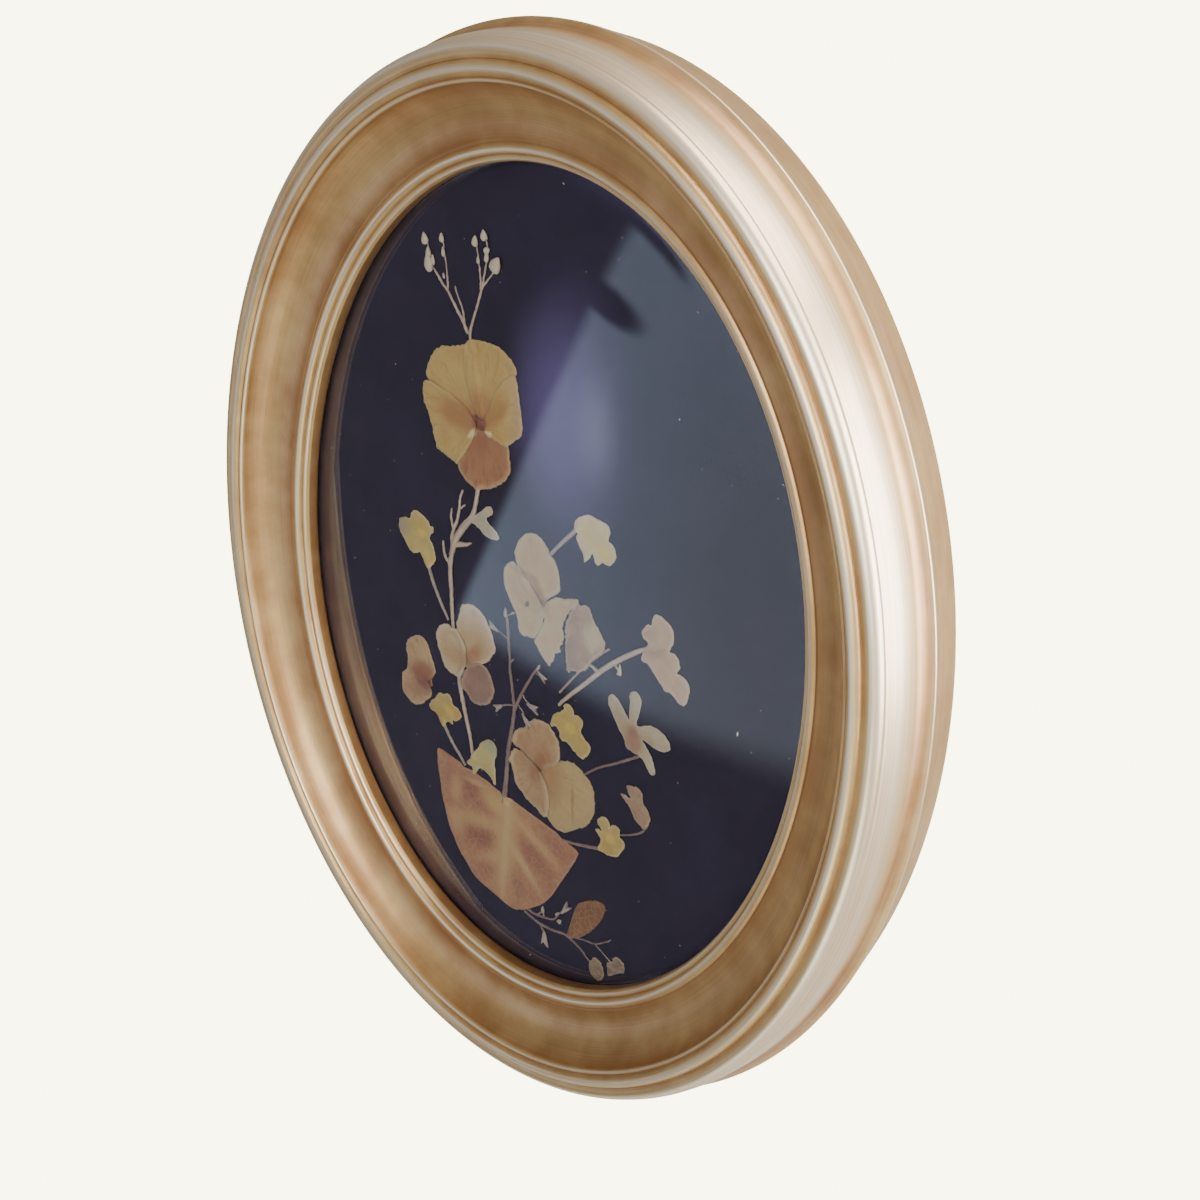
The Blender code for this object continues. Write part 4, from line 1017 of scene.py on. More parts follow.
def lay_petal(field, node, material, base, ruffle=0.12, rag=0.16, swell=0.15, slot_name="petals", corners=None):
    """A petal or leaf from its CAD outline, or from corners: thin, ruffled, its edge curled up here and there."""
    sizes = bpy.context.scene.posy_sizes
    shape = node_outline(node) if corners is None else np.array(corners) * MM
    outline = ragged(rounded_outline(shape, 2, sizes.spacing * 0.6), rag * 1.9 * MM, swell=swell * MM)
    seed = sum(map(ord, node)) * 0.37

    def bottom_of(points, edge):
        lift = 0.00005 + ruffle * MM * (0.5 + 0.5 * waves(points, 0.0045, seed))
        lift += ruffle * 0.5 * MM * (0.5 + 0.5 * waves(points, 0.0016, seed + 9))
        curl = np.exp(-((edge / 0.0012) ** 2)) * sizes.curl * np.clip(waves(points, 0.006, seed + 4) + 0.25, 0, 1)
        return lift + curl

    def top_of(points, edge):
        return bottom_of(points, edge) + sizes.sheet * np.clip(edge / 0.0004 + 0.35, 0.35, 1)

    replaced = node if corners is None else None
    name = "pressed_" + node
    return lay_piece(name, replaced, material, slot_name, field, outline, sizes.spacing, top_of, bottom_of, base)


def oval_corners(x, z, across, up, turn):
    """Points round an oval turned by degrees about its middle."""
    spin = Matrix.Rotation(math.radians(turn), 2)
    corners = []
    for step in np.arange(0, 6.28, 0.52):
        spoke = Vector((across * math.cos(step), up * math.sin(step)))
        corners.append(tuple(spin @ spoke + Vector((x, z))))
    return corners


# The small middles that show between petals: name, finish, place, half sizes and turn, in millimetres.
HEARTS = (
    ("yellow_pansy_heart", "russet lip", -30.4, 41.0, 3.6, 2.8, 20),
    ("peach_pansy_heart", "pale peach petal", -1.5, 3.4, 6.0, 4.4, 10),
    ("viola_heart", "peach petal", -21.0, -32.5, 3.4, 3.0, 0),
    ("side_viola_heart", "side viola petal", -38.5, -50.5, 4.0, 3.6, 0),
    ("low_pansy_heart", "wide peach petal", 12.6, -47.6, 5.6, 4.2, -70),
)

# Each petal: node, finish, the place its veins start from, ruffle, raggedness, in laying order.
LOW_PETALS = (
    ("yellow_pansy_upper_left", "straw petal", (-30, 40.5), 0.14, 0.2),
    ("pale_floret", "pale floret petal", (-24, 12), 0.2, 0.16),
    ("cream_flower", "cream petal", (-47.5, -3.5), 0.22, 0.2),
    ("viola_upper", "peach petal", (-20.5, -33), 0.14, 0.16),
    ("side_viola_lower", "side viola petal", (-37.5, -50), 0.2, 0.2),
    ("peach_pansy_upper", "pale peach petal", (1.5, 3.5), 0.14, 0.16),
    ("white_flower", "white petal", (18, 31), 0.22, 0.18),
    ("peach_flower", "blush petal", (42.5, 12), 0.2, 0.18),
    ("low_pansy_right", "wide straw petal", (14, -47.5), 0.14, 0.16),
    ("middle_yellow_flower", "butter petal", (21, -28), 0.22, 0.18),
    ("star_flower", "star petal", (43.3, -14), 0.2, 0.12),
    ("brown_flower", "brown petal", (48, -35), 0.24, 0.18),
    ("right_yellow_flower", "butter petal", (43, -51.5), 0.2, 0.16),
)
HIGH_PETALS = (
    ("yellow_pansy_upper_right", "straw petal", (-30, 40.5), 0.14, 0.2),
    ("yellow_pansy_lower", "russet lip", (-30, 40), 0.12, 0.2),
    ("viola_lower", "mauve lip", (-20.8, -33.5), 0.12, 0.14),
    ("side_viola_upper", "side viola petal", (-37.5, -50), 0.2, 0.2),
    ("green_flower", "green petal", (-7, -62), 0.24, 0.16),
    ("peach_pansy_lower", "pale peach petal", (1.5, 3.5), 0.14, 0.18),
    ("crumpled_petal", "crumpled petal", (16, 10), 0.5, 0.34),
    ("low_pansy_upper", "wide peach petal", (13.5, -47.7), 0.14, 0.18),
    ("yellow_pansy_side_left", "straw petal", (-30, 40.5), 0.14, 0.2),
    ("yellow_pansy_side_right", "straw petal", (-30, 40.5), 0.14, 0.2),
    ("viola_side", "peach petal", (-21.4, -33.7), 0.16, 0.16),
    ("left_yellow_flower", "butter petal", (-26, -55), 0.24, 0.18),
    ("peach_pansy_torn", "pale peach petal", (4, 2), 0.3, 0.3),
    ("low_pansy_left", "wide peach petal", (13.5, -48), 0.14, 0.2),
)
# Each stem: its finish, then its twigs as (thicknesses along it, points), in millimetres.
STEMS = {
    "top_sprig_left": ("pale stem", (
        ((1.1, 0.8, 0.6), (-39.9, 63.2), (-42.4, 65.5), (-46.2, 68.3), (-49.9, 71.1), (-52.1, 72.0),
         (-54.7, 73.6), (-57, 75)),
        ((0.6, 0.45), (-41.6, 64.9), (-43.4, 68.6), (-45.6, 70.9), (-47.4, 73.4)),
        ((0.6, 0.4), (-49.9, 71.1), (-50.7, 74.4), (-51.8, 77.4), (-53.2, 80.8)),
    )),
    "top_sprig_right": ("pale stem", (
        ((1.0, 0.75, 0.5), (-38.4, 61.0), (-39.2, 63.6), (-38.9, 66.9), (-38.1, 71.7), (-37.2, 77.6),
         (-37.1, 80.9), (-36.9, 85.5)),
        ((0.6, 0.4), (-37.6, 76.4), (-38.4, 79.8), (-39.9, 83.8), (-41.6, 87.6)),
        ((0.6, 0.4), (-37.4, 77.2), (-34.9, 81.4), (-33.2, 84.6)),
    )),
    "tall_stem": ("pale stem", (
        ((1.4, 1.5, 1.9, 2.3, 2.0, 1.7, 1.5, 1.3, 1.2), (-27.5, 23), (-27.6, 17.1), (-28.0, 13), (-31.0, 7.5),
         (-33.4, 1.3), (-33.9, -6.3), (-32.0, -14.6), (-30.0, -22.8), (-29.0, -26)),
        ((1.3, 1.7, 0.5), (-33.6, 0.2), (-31.2, 2.0), (-29.2, 3.0), (-27.2, 4.6)),
        ((1.2, 0.9, 0.6), (-33.9, -6.6), (-36.5, -5.4), (-38.0, -2.6), (-38.4, -1.0)),
        ((1.0, 0.5), (-28.2, 12.6), (-25.6, 14.0), (-23.8, 14.2)),
    )),
    "tall_stem_fork": ("pale stem", (
        ((1.4, 1.2, 1.0, 0.9, 0.7), (-34.2, 0.2), (-35.0, 2.5), (-34.6, 5.4), (-33.9, 8.6), (-33.8, 13.0),
         (-34.1, 15.4), (-33.6, 18.4)),
        ((1.0, 0.8, 0.5), (-34.8, 4.6), (-36.6, 8), (-36.9, 10.6)),
        ((0.8, 0.5), (-33.8, 12.2), (-31.8, 14.6)),
    )),
    "cream_flower_stem": ("grey stem", (
        ((1.3, 1.1, 0.9), (-43.8, -11.0), (-40.0, -16.3), (-37.2, -19.4), (-34.5, -22.1), (-31.6, -24.6)),
    )),
    "viola_stem": ("pale stem", (
        ((1.3, 1.6, 1.5, 1.3, 1.3), (-22.4, -36.5), (-23.4, -40.6), (-19.9, -48.3), (-15.3, -57.1), (-13.0, -62.8)),
    )),
    "left_yellow_flower_stem": ("grey stem", (
        ((1.3, 1.1, 1.0), (-27.8, -59.6), (-24.4, -62.4), (-21.4, -64.7), (-18.3, -66.3), (-15.5, -68.2)),
    )),
    "middle_sprig_stem": ("dusky stem", (
        ((2.0, 1.8, 1.5, 1.4, 1.3), (2.6, -69), (2.0, -61.7), (0.6, -50.2), (0.4, -41), (-0.1, -34.6)),
    )),
    "middle_sprig_left": ("dusky stem", (
        ((1.1, 1.0, 0.9, 1.1, 0.8), (-0.4, -35.0), (-2.6, -29.1), (-4.5, -24.5), (-5.2, -21.5), (-7.0, -15.7),
         (-8.4, -11.0), (-9.7, -8.5)),
        ((0.5, 0.35), (-0.6, -35.0), (-4.5, -37.4), (-5.4, -38.4)),
        ((0.5, 0.35), (-6.9, -16.0), (-10.2, -15.7), (-11.8, -15.6)),
        ((0.8, 0.4), (-5.0, -22.4), (-3.9, -20.6)),
    )),
    "middle_sprig_right": ("dusky stem", (
        ((1.1, 0.9, 0.6), (0.2, -35.0), (1.6, -29.1), (3.1, -24.0), (4.6, -19.6), (6.1, -16.4)),
        ((0.5, 0.35), (4.6, -19.6), (6.6, -19.6), (8.0, -19.8)),
    )),
    "white_flower_stem": ("grey stem", (((1.3, 1.2, 1.1), (10.6, 31.4), (7.1, 26.0), (5.0, 22.6), (3.1, 19.3),
        (1.9, 17)),)),
    "spray_stem": ("pale stem", (
        ((1.0, 1.3, 1.6, 1.5, 1.3, 0.9), (42.5, 13.2), (39.7, 11.2), (37.5, 8.9), (32.2, 2.6), (27.9, -3.4),
         (23.3, -10.9), (17.6, -19.9), (15.8, -23.4)),
        ((0.8, 0.6), (31.4, 1.4), (34.0, -0.6)),
        ((1.2, 0.8), (27.0, -4.6), (22.6, -4.4), (20.6, -6.0)),
    )),
    "spray_thin_stem": ("grey stem", (((0.6, 0.9, 0.6), (28.8, 4.2), (26.1, 0.7), (22.4, -5.0), (19.4, -10.6),
        (15.0, -19.6)),)),
    "star_flower_stem": ("dusky stem", (
        ((0.9, 0.7, 0.6), (46.4, -19.4), (42.9, -23.3), (39.3, -27.2), (35.7, -30.8), (32.5, -34.4), (29.6, -38.4)),
    )),
    "brown_flower_stem": ("dusky stem", (((0.7, 0.6), (54.2, -38.6), (53.4, -40.6), (52.1, -42.6),
        (49.6, -45.1), (45.8, -48.2)),)),
    "right_yellow_flower_stem": ("dusky stem", (((1.3, 0.9, 0.8), (41, -57.2), (36.1, -60.1), (31.4, -62.9),
        (27, -64.9)),)),
    "bottom_sprig_upper": ("dusky stem", (
        ((0.9, 0.7, 0.5), (19.4, -99.0), (22.9, -98.3), (26.9, -96.4), (30.1, -94.1), (31.5, -90.6), (33.1, -88.4)),
        ((0.8, 0.5), (23.4, -98.1), (24.9, -95.8)),
    )),
    "bottom_sprig_lower": ("dusky stem", (
        ((1.0, 1.0, 0.9, 0.7, 0.5), (18.4, -100.6), (25, -100.2), (30.7, -98.2), (35.9, -95.9), (41.8, -96.2),
         (45.3, -97.4), (50, -98.5)),
        ((0.8, 0.6), (25.0, -100.2), (27.9, -102.6)),
        ((0.8, 0.6, 0.4), (35.9, -95.9), (40.1, -93.4), (43.3, -91.7), (46.8, -89.9), (50.8, -85.5)),
    )),
}
STEM_COLOURS = {
    "pale stem": ((184, 166, 152), (158, 138, 126)),
    "grey stem": ((160, 146, 138), (136, 120, 112)),
    "dusky stem": ((136, 114, 108), (106, 86, 82)),
}


class FLOWERFRAME_OT_stems(bpy.types.Operator):
    """Lay the stems and sprigs on the velvet"""

    bl_idname = "flower_frame.stems"
    bl_label = "Stems"

    def execute(self, context):
        LAID.append(HeightField())
        materials = {name: stem_finish(name, *colours) for name, colours in STEM_COLOURS.items()}
        tree = make_fine_ends_tree()
        for node, (finish, twigs) in STEMS.items():
            values = {"Wrinkle": 0.0005, "Material": materials[finish]}
            piece = grown("pressed_" + node, fine_ends_mesh(twigs, (), ()), tree, values)
            settle(piece, "stems", node)
            for thickness, *path in twigs:
                LAID[0].raise_along(np.array(path) * MM, np.mean(thickness) * MM)
        return {"FINISHED"}


class FLOWERFRAME_OT_petals(bpy.types.Operator):
    """Lay the petals and leaves over the stems"""

    bl_idname = "flower_frame.petals"
    bl_label = "Petals and leaves"

    def execute(self, context):
        finishes = {}
        for name, (main, deep, rim, veins, lines, depth, width, marks) in PETAL_FINISHES.items():
            finishes[name] = petal_finish(name, main, deep, rim, veins, lines, depth, width, marks)
        leaf = leaf_finish("vase leaf", (160, 117, 84), (150, 104, 76), (160, 118, 94), (128, 82, 60), LEAF_MARKS)
        small_leaf = leaf_finish("orange leaf", (122, 82, 52), (108, 70, 46), (126, 88, 62), (92, 58, 38), ())
        for name, finish, x, z, across, up, turn in HEARTS:
            corners = oval_corners(x, z, across, up, turn)
            lay_petal(LAID[0], name, finishes[finish], (x, z + 0.5), 0.06, 0.2, 0, "petals", corners)
        for node, finish, base, ruffle, rag in LOW_PETALS:
            lay_petal(LAID[0], node, finishes[finish], base, ruffle, rag)
        lay_petal(LAID[0], "vase_leaf", leaf, (5.5, -110), 0.1, 0.08, 0.1, "leaf")
        lay_petal(LAID[0], "orange_leaf", small_leaf, (36, -97), 0.12, 0.08, 0.1, "leaf")
        for node, finish, base, ruffle, rag in HIGH_PETALS:
            lay_petal(LAID[0], node, finishes[finish], base, ruffle, rag)
        return {"FINISHED"}


# ---------------------------------------------------------------- buds, bells, tufts and lint

# Each sprig's fine ends, in millimetres: twigs as (thickness, points), buds and bells as
# (foot x, foot z, tip x, tip z, width).
FINE_ENDS = {
    "top_sprig_left_buds": (
        "bud",
        (((0.42, 0.42), (-56.6, 74.9), (-58.6, 78.2), (-60.3, 80.4)), ((0.4, 0.4), (-53.1, 80.4),
         (-53.8, 82.2), (-54.4, 83.6)),
         ((0.4, 0.4), (-56.9, 75.2), (-58.6, 75.6))),
        ((-57.0, 73.4, -59.0, 77.9, 3.6), (-56.6, 75.4, -57.2, 78.4, 2.0), (-58.4, 77.0, -59.4, 79.6, 2.4),
         (-60.0, 79.9, -61.6, 82.8, 2.9), (-54.2, 82.8, -54.8, 85.3, 2.1), (-52.9, 79.3, -53.8, 82.0, 1.5),
         (-51.8, 73.7, -52.4, 75.0, 0.9)),
        (),
    ),
    "top_sprig_right_buds": (
        "bud",
        (((0.42, 0.42), (-36.9, 85.2), (-37.2, 87.9), (-38.4, 90.4)), ((0.42, 0.42), (-33.4, 84.2), (-32.9, 85.0)),
         ((0.38, 0.38), (-41.4, 87.2), (-41.8, 88.4))),
        ((-33.4, 83.6, -32.0, 88.0, 4.3), (-34.6, 85.0, -31.2, 86.2, 3.0), (-36.9, 84.6, -36.9, 87.4, 1.9),
         (-37.8, 87.1, -36.2, 88.5, 2.3), (-38.2, 89.8, -39.4, 92.6, 2.8), (-41.6, 86.9, -42.0, 89.8, 2.5),
         (-39.6, 82.9, -40.3, 85.0, 1.4)),
        (),
    ),
    "middle_sprig_bells": (
        "dusky bud",
        (((0.42, 0.42), (-0.6, -35.0), (-2.8, -36.3), (-4.8, -37.9)), ((0.4, 0.4), (0.9, -33.8), (2.2, -34.4),
         (3.6, -35.2)),
         ((0.4, 0.4), (1.9, -29.4), (3.1, -30.4), (4.8, -30.6)), ((0.36, 0.36), (5.0, -18.8), (6.4, -18.3)),
          ((0.36, 0.36), (-9.5, -9.2), (-7.2, -7.0))),
        ((-9.5, -9.6, -10.1, -6.6, 1.5), (-7.6, -7.3, -6.3, -6.0, 0.9), (5.5, -18.2, 6.2, -15.8, 1.0)),
        ((-11.2, -15.6, -14.0, -15.4, 2.3), (-4.6, -37.6, -6.5, -39.6, 2.3), (3.2, -35.0, 5.9, -36.8, 2.3),
         (4.4, -30.7, 7.6, -30.3, 2.7), (6.2, -18.3, 8.7, -18.9, 2.1)),
    ),
    "spray_buds": ("bud", (((0.6, 0.6), (33.0, -1.2), (34.0, -0.4)),), ((34.2, -1.0, 33.4, 2.4, 1.5),), ()),
    "bottom_sprig_buds": (
        "dusky bud",
        (((0.4, 0.4), (26.0, -96.6), (25.4, -94.6)), ((0.36, 0.36), (31.0, -94.4), (32.4, -93.0)),
         ((0.34, 0.34), (50.5, -85.8), (51.6, -84.2)),
         ((0.36, 0.36), (46.2, -90.2), (49.4, -90.8), (53.8, -91.6))),
        ((25.6, -95.4, 25.0, -93.0, 1.6), (31.9, -93.9, 32.9, -92.2, 1.5), (30.4, -92.4, 31.2, -90.4, 1.0)),
        ((32.6, -89.4, 34.0, -85.9, 2.5), (27.9, -101.0, 28.8, -104.2, 3.1)),
    ),
}
BUD_COLOURS = {
    "bud": ((176, 164, 148), (160, 142, 124), (184, 174, 160), (140, 118, 100)),
    "dusky bud": ((146, 132, 126), (118, 100, 96), (156, 144, 138), (96, 80, 78)),
}
COTTON_COLOURS = (140, 122, 102), (112, 94, 82), (150, 134, 114), (90, 72, 62)
TUFTS = {
    "cotton_tuft_low": ((46.2, -96.4), (48.2, -94.6), (50.6, -95.2), (52.2, -97.6), (52.0, -100.4),
        (50.4, -102.4), (47.6, -102.2), (46.0, -99.8)),
    "cotton_tuft_high": (
        (53.5, -89.4), (55.0, -88.2), (57.1, -87.6), (58.5, -89.4), (59.0, -91.1), (57.1, -93.2),
        (55.3, -94.9), (53.5, -97.6), (52.8, -95.2), (51.8, -92.9), (53.8, -91.7),
    ),
}
LINT_SIZES = (0.00009, 0.00004, 0.00012), (0.00022, 0.00008, 0.0006)
# The larger flecks: x, z and size, in millimetres.
FLECKS = (
    (-15, 114, 0.5), (34.5, 75.3, 0.45), (73.4, 7.2, 1.0),
    (77.9, 17.7, 0.4), (67.2, 75.3, 0.45), (23.8, -115.1, 0.5),
)


BUD, BELL = 1, 2


def at_points(tree, geometry, shape, chosen):
    """The shape placed on the chosen points, turned, flattened and sized by the points' attributes."""
    turn = joined(tree, 0.0, named(tree, "turn"), 0.0)
    size = joined(tree, named(tree, "wide"), named(tree, "deep"), named(tree, "long"))
    rotation = lay(tree, "FunctionNodeEulerToRotation", {0: turn}).outputs[0]
    inputs = {"Points": geometry, "Instance": shape, "Selection": chosen, "Rotation": rotation, "Scale": size}
    return lay(tree, "GeometryNodeInstanceOnPoints", inputs).outputs[0]


def make_fine_ends_tree():
    """Round twigs along the mesh's edges, with buds and bells on the points that ask for them."""
    tree, given, made = new_shape_tree("Fine ends", {"Wrinkle": "Float", "Material": "Material"})
    kind = named(tree, "kind")
    bud_here, bell_here = (
        lay(tree, "FunctionNodeCompare", {0: kind, 1: wanted, 12: 0.1}, operation="EQUAL").outputs[0]
        for wanted in (BUD, BELL)
    )
    place = lay(tree, "GeometryNodeInputPosition").outputs[0]
    x, y, z = split(tree, place)
    ball = lay(tree, "GeometryNodeMeshUVSphere", {"Segments": 10, "Rings": 8, "Radius": 0.5}).outputs[0]
    taper = maths(tree, "MULTIPLY_ADD", z, -0.75, 0.85)
    tapered = joined(tree, maths(tree, "MULTIPLY", x, taper), maths(tree, "MULTIPLY", y, taper), z)
    bud = lay(tree, "GeometryNodeSetPosition", {"Geometry": ball, "Position": tapered}).outputs[0]
    cone = {"Vertices": 12, "Side Segments": 5, "Fill Segments": 2}
    cone.update({"Radius Top": 0.5, "Radius Bottom": 0.12, "Depth": 1.0})
    funnel = lay(tree, "GeometryNodeMeshCone", cone, fill_type="TRIANGLE_FAN").outputs[0]
    mouth = maths(tree, "MAXIMUM", maths(tree, "SUBTRACT", z, 0.2), 0.0)
    lobe = maths(tree, "MULTIPLY", maths(tree, "ABSOLUTE", x), mouth)
    lipped = joined(tree, x, y, maths(tree, "MULTIPLY_ADD", lobe, 1.3, maths(tree, "SUBTRACT", z, 0.5)))
    bell = lay(tree, "GeometryNodeSetPosition", {"Geometry": funnel, "Position": lipped}).outputs[0]
    buds = at_points(tree, given["Geometry"], bud, bud_here)
    bells = at_points(tree, given["Geometry"], bell, bell_here)
    path = lay(tree, "GeometryNodeMeshToCurve", {"Mesh": given["Geometry"]}).outputs[0]
    path = lay(tree, "GeometryNodeCurveSplineType", {"Curve": path}, spline_type="CATMULL_ROM").outputs[0]
    path = lay(tree, "GeometryNodeResampleCurve", {"Curve": path, "Length": 0.0004}, mode="LENGTH").outputs[0]
    path = lay(tree, "GeometryNodeSetCurveRadius", {"Curve": path, "Radius": named(tree, "thick")}).outputs[0]
    ring = lay(tree, "GeometryNodeCurvePrimitiveCircle", {"Resolution": 8, "Radius": 1.0}).outputs[0]
    tube = {"Curve": path, "Profile Curve": ring, "Scale": named(tree, "thick"), "Fill Caps": True}
    twigs = lay(tree, "GeometryNodeCurveToMesh", tube).outputs[0]
    off_cloth = maths(tree, "SUBTRACT", y, VELVET_FACE)
    pressed = joined(tree, x, maths(tree, "MULTIPLY_ADD", off_cloth, FLATTENED, VELVET_FACE), z)
    twigs = lay(tree, "GeometryNodeSetPosition", {"Geometry": twigs, "Position": pressed}).outputs[0]
    real = lay(tree, "GeometryNodeRealizeInstances", {"Geometry": together(tree, buds, bells, twigs)}).outputs[0]
    stray = lay(tree, "ShaderNodeTexNoise", {"Vector": place, "Scale": 1400.0, "Detail": 2.0}).outputs[1]
    stray = vector_maths(tree, "SUBTRACT", stray, (0.5, 0.5, 0.5))
    offset = times(tree, stray, given["Wrinkle"])
    rough = lay(tree, "GeometryNodeSetPosition", {"Geometry": real, "Offset": offset}).outputs[0]
    finish_tree(tree, rough, given["Material"], made["Geometry"])
    return tree


def fine_ends_mesh(twigs, buds, bells):
    """Twig paths as edges, and one loose point for each bud and bell."""
    points, edges, values = [], [], []
    for thicknesses, *path in twigs:
        along = np.linspace(0, 1, len(path))
        widths = np.interp(along, np.linspace(0, 1, len(thicknesses)), thicknesses)
        for step, ((x, z), width) in enumerate(zip(path, widths)):
            if step:
                edges.append((len(points) - 1, len(points)))
            points.append((x * MM, VELVET_FACE - (0.12 + width / 2) * MM, z * MM))
            values.append((0, width / 2 * MM, 0, 0, 0, 0))
    for kind, ends in ((BUD, buds), (BELL, bells)):
        for foot_x, foot_z, tip_x, tip_z, width in ends:
            run = Vector((tip_x - foot_x, tip_z - foot_z))
            deep = 0.42 * width * MM
            middle = (foot_x + run.x * 0.5) * MM, (foot_z + run.y * 0.5) * MM
            points.append((middle[0], VELVET_FACE - deep / 2 - 0.00016, middle[1]))
            values.append((kind, 0, width * MM, deep, run.length * MM, math.atan2(run.x, run.y)))
    mesh = bpy.data.meshes.new("fine ends")
    mesh.from_pydata(points, edges, [])
    for column, label in enumerate(("kind", "thick", "wide", "deep", "long", "turn")):
        data = mesh.attributes.new(label, "FLOAT", "POINT").data
        for item, row in zip(data, values):
            item.value = row[column]
    return mesh


class FLOWERFRAME_OT_buds(bpy.types.Operator):
    """Put the fine twig ends, buds and bells on the sprigs"""

    bl_idname = "flower_frame.buds"
    bl_label = "Buds and bells"

    def execute(self, context):
        finishes = {name: petal_finish(name, *look, 6, 0.2, 0.3) for name, look in BUD_COLOURS.items()}
        tree = bpy.data.node_groups["Fine ends"]
        for name, (finish, twigs, buds, bells) in FINE_ENDS.items():
            values = {"Wrinkle": 0.00045, "Material": finishes[finish]}
            piece = grown(name, fine_ends_mesh(twigs, buds, bells), tree, values)
            settle(piece, "stems")
        return {"FINISHED"}


class FLOWERFRAME_OT_tufts(bpy.types.Operator):
    """Lay the two pressed cotton tufts at the foot"""

    bl_idname = "flower_frame.tufts"
    bl_label = "Cotton tufts"

    def execute(self, context):
        cotton = petal_finish("cotton", *COTTON_COLOURS, 20, 0.5, 0.7, (), 0.002)
        for name, corners in TUFTS.items():
            outline = ragged(rounded_outline(np.array(corners) * MM, 3, 0.0003), 0.0004, 0.0007)
            seed = len(name) * 1.3

            def bottom_of(points, edge):
                return np.full(len(points), 0.00003)

            def top_of(points, edge):
                lumps = 0.6 + 0.45 * waves(points, 0.0011, seed) + 0.25 * waves(points, 0.0005, seed + 5)
                return 0.00006 + 0.00075 * np.sqrt(np.clip(edge / 0.0016, 0, 1)) * lumps

            lay_piece(name, None, cotton, "petals", LAID[0], outline, 0.0003, top_of, bottom_of, corners[0])
        return {"FINISHED"}


def make_lint_tree():
    """Specks of lint strewn over the faces, and larger ones on the loose points."""
    tree, given, made = new_shape_tree("Lint", {"Density": "Float", "Seed": "Int", "Material": "Material"})
    strewn = {"Mesh": given["Geometry"], "Density": given["Density"], "Seed": given["Seed"]}
    spots = lay(tree, "GeometryNodeDistributePointsOnFaces", strewn).outputs[0]
    fleck = lay(tree, "GeometryNodeMeshIcoSphere", {"Radius": 0.5, "Subdivisions": 1}).outputs[0]
    limits = (LINT_SIZES, 3), (((0, 0, 0), (0, 6.28, 0)), 5)
    small, angle = (
        lay(tree, "FunctionNodeRandomValue", {0: low, 1: high, "Seed": seed}, data_type="FLOAT_VECTOR").outputs[0]
        for (low, high), seed in limits
    )
    turned = lay(tree, "FunctionNodeEulerToRotation", {0: angle}).outputs[0]
    strewn = {"Points": spots, "Instance": fleck, "Rotation": turned, "Scale": small}
    dust = lay(tree, "GeometryNodeInstanceOnPoints", strewn).outputs[0]
    size = named(tree, "size")
    chosen = lay(tree, "FunctionNodeCompare", {0: size, 1: 0.00001}, operation="GREATER_THAN").outputs[0]
    shape = joined(tree, *(maths(tree, "MULTIPLY", size, share) for share in (0.6, 0.35, 1.6)))
    large = {"Points": given["Geometry"], "Instance": fleck, "Selection": chosen, "Rotation": turned, "Scale": shape}
    flecks = lay(tree, "GeometryNodeInstanceOnPoints", large).outputs[0]
    finish_tree(tree, together(tree, dust, flecks), given["Material"], made["Geometry"])
    return tree


class FLOWERFRAME_OT_lint(bpy.types.Operator):
    """Strew a little lint over the velvet"""

    bl_idname = "flower_frame.lint"
    bl_label = "Lint"

    def execute(self, context):
        sizes = context.scene.frame_sizes
        level = VELVET_FACE - 0.00004
        points = [(0, level, 0)]
        steps = 48
        width, height = sizes.half_width * 0.97, sizes.half_height * 0.97
        for step in range(steps):
            angle = step * math.pi / (steps / 2)
            points.append((width * math.cos(angle), level, height * math.sin(angle)))
        faces = [(0, 1 + (step + 1) % steps, 1 + step) for step in range(steps)]
        points += [(x * MM, level, z * MM) for x, z, _ in FLECKS]
        mesh = bpy.data.meshes.new("lint")
        mesh.from_pydata(points, [], faces)
        values = mesh.attributes.new("size", "FLOAT", "POINT").data
        for item, (_, _, size) in zip(list(values)[steps + 1 :], FLECKS):
            item.value = size * MM
        lint = fixing_finish("lint", (0.32, 0.31, 0.32), (0.55, 0.53, 0.52), 0.0, 0.7, 0.003)
        piece = grown("velvet_lint", mesh, make_lint_tree(), {"Density": 3600.0, "Seed": 11, "Material": lint})
        settle(piece, "velvet")
        return {"FINISHED"}


# ---------------------------------------------------------------- the stage


# Each lamp: name, place, width and height, power, tint.
LAMPS = (
    ("right_panel", (1.35, 0.3, 0.5), (1.2, 1.4), 80, (1.0, 0.97, 0.94)),
    ("low_panel", (0.62, -0.75, -0.7), (0.5, 0.6), 3.0, (0.93, 1.0, 0.86)),
    ("front_panel", (0.45, -1.5, 0.5), (0.9, 0.9), 29, (1.0, 0.98, 0.95)),
    ("top_panel", (0.3, 0.2, 1.5), (1.2, 1.2), 44, (1.0, 0.9, 0.83)),
)
CAMERA_PLACE = (0.2453, -0.2662, 0.2509)
CAMERA_AXES = (0.6824, 0.7111, 0.1695), (-0.5047, 0.2906, 0.8129), (0.5288, -0.6402, 0.5572)
FLOOR_REACH, FLOOR_LEVEL = 40.0, -3.0


def soft_panel(name, place, size, power, tint):
    """A soft studio lamp aimed at the frame."""
    lamp = bpy.data.lights.new(name, "AREA")
    lamp.shape = "RECTANGLE"
    lamp.size, lamp.size_y = size
    lamp.energy = power
    lamp.color = tint
    holder = bpy.data.objects.new(name, lamp)
    holder.location = place
    holder.rotation_euler = (-Vector(place)).to_track_quat("-Z", "Y").to_euler()
    holder.visible_camera = False
    bpy.context.scene.collection.objects.link(holder)


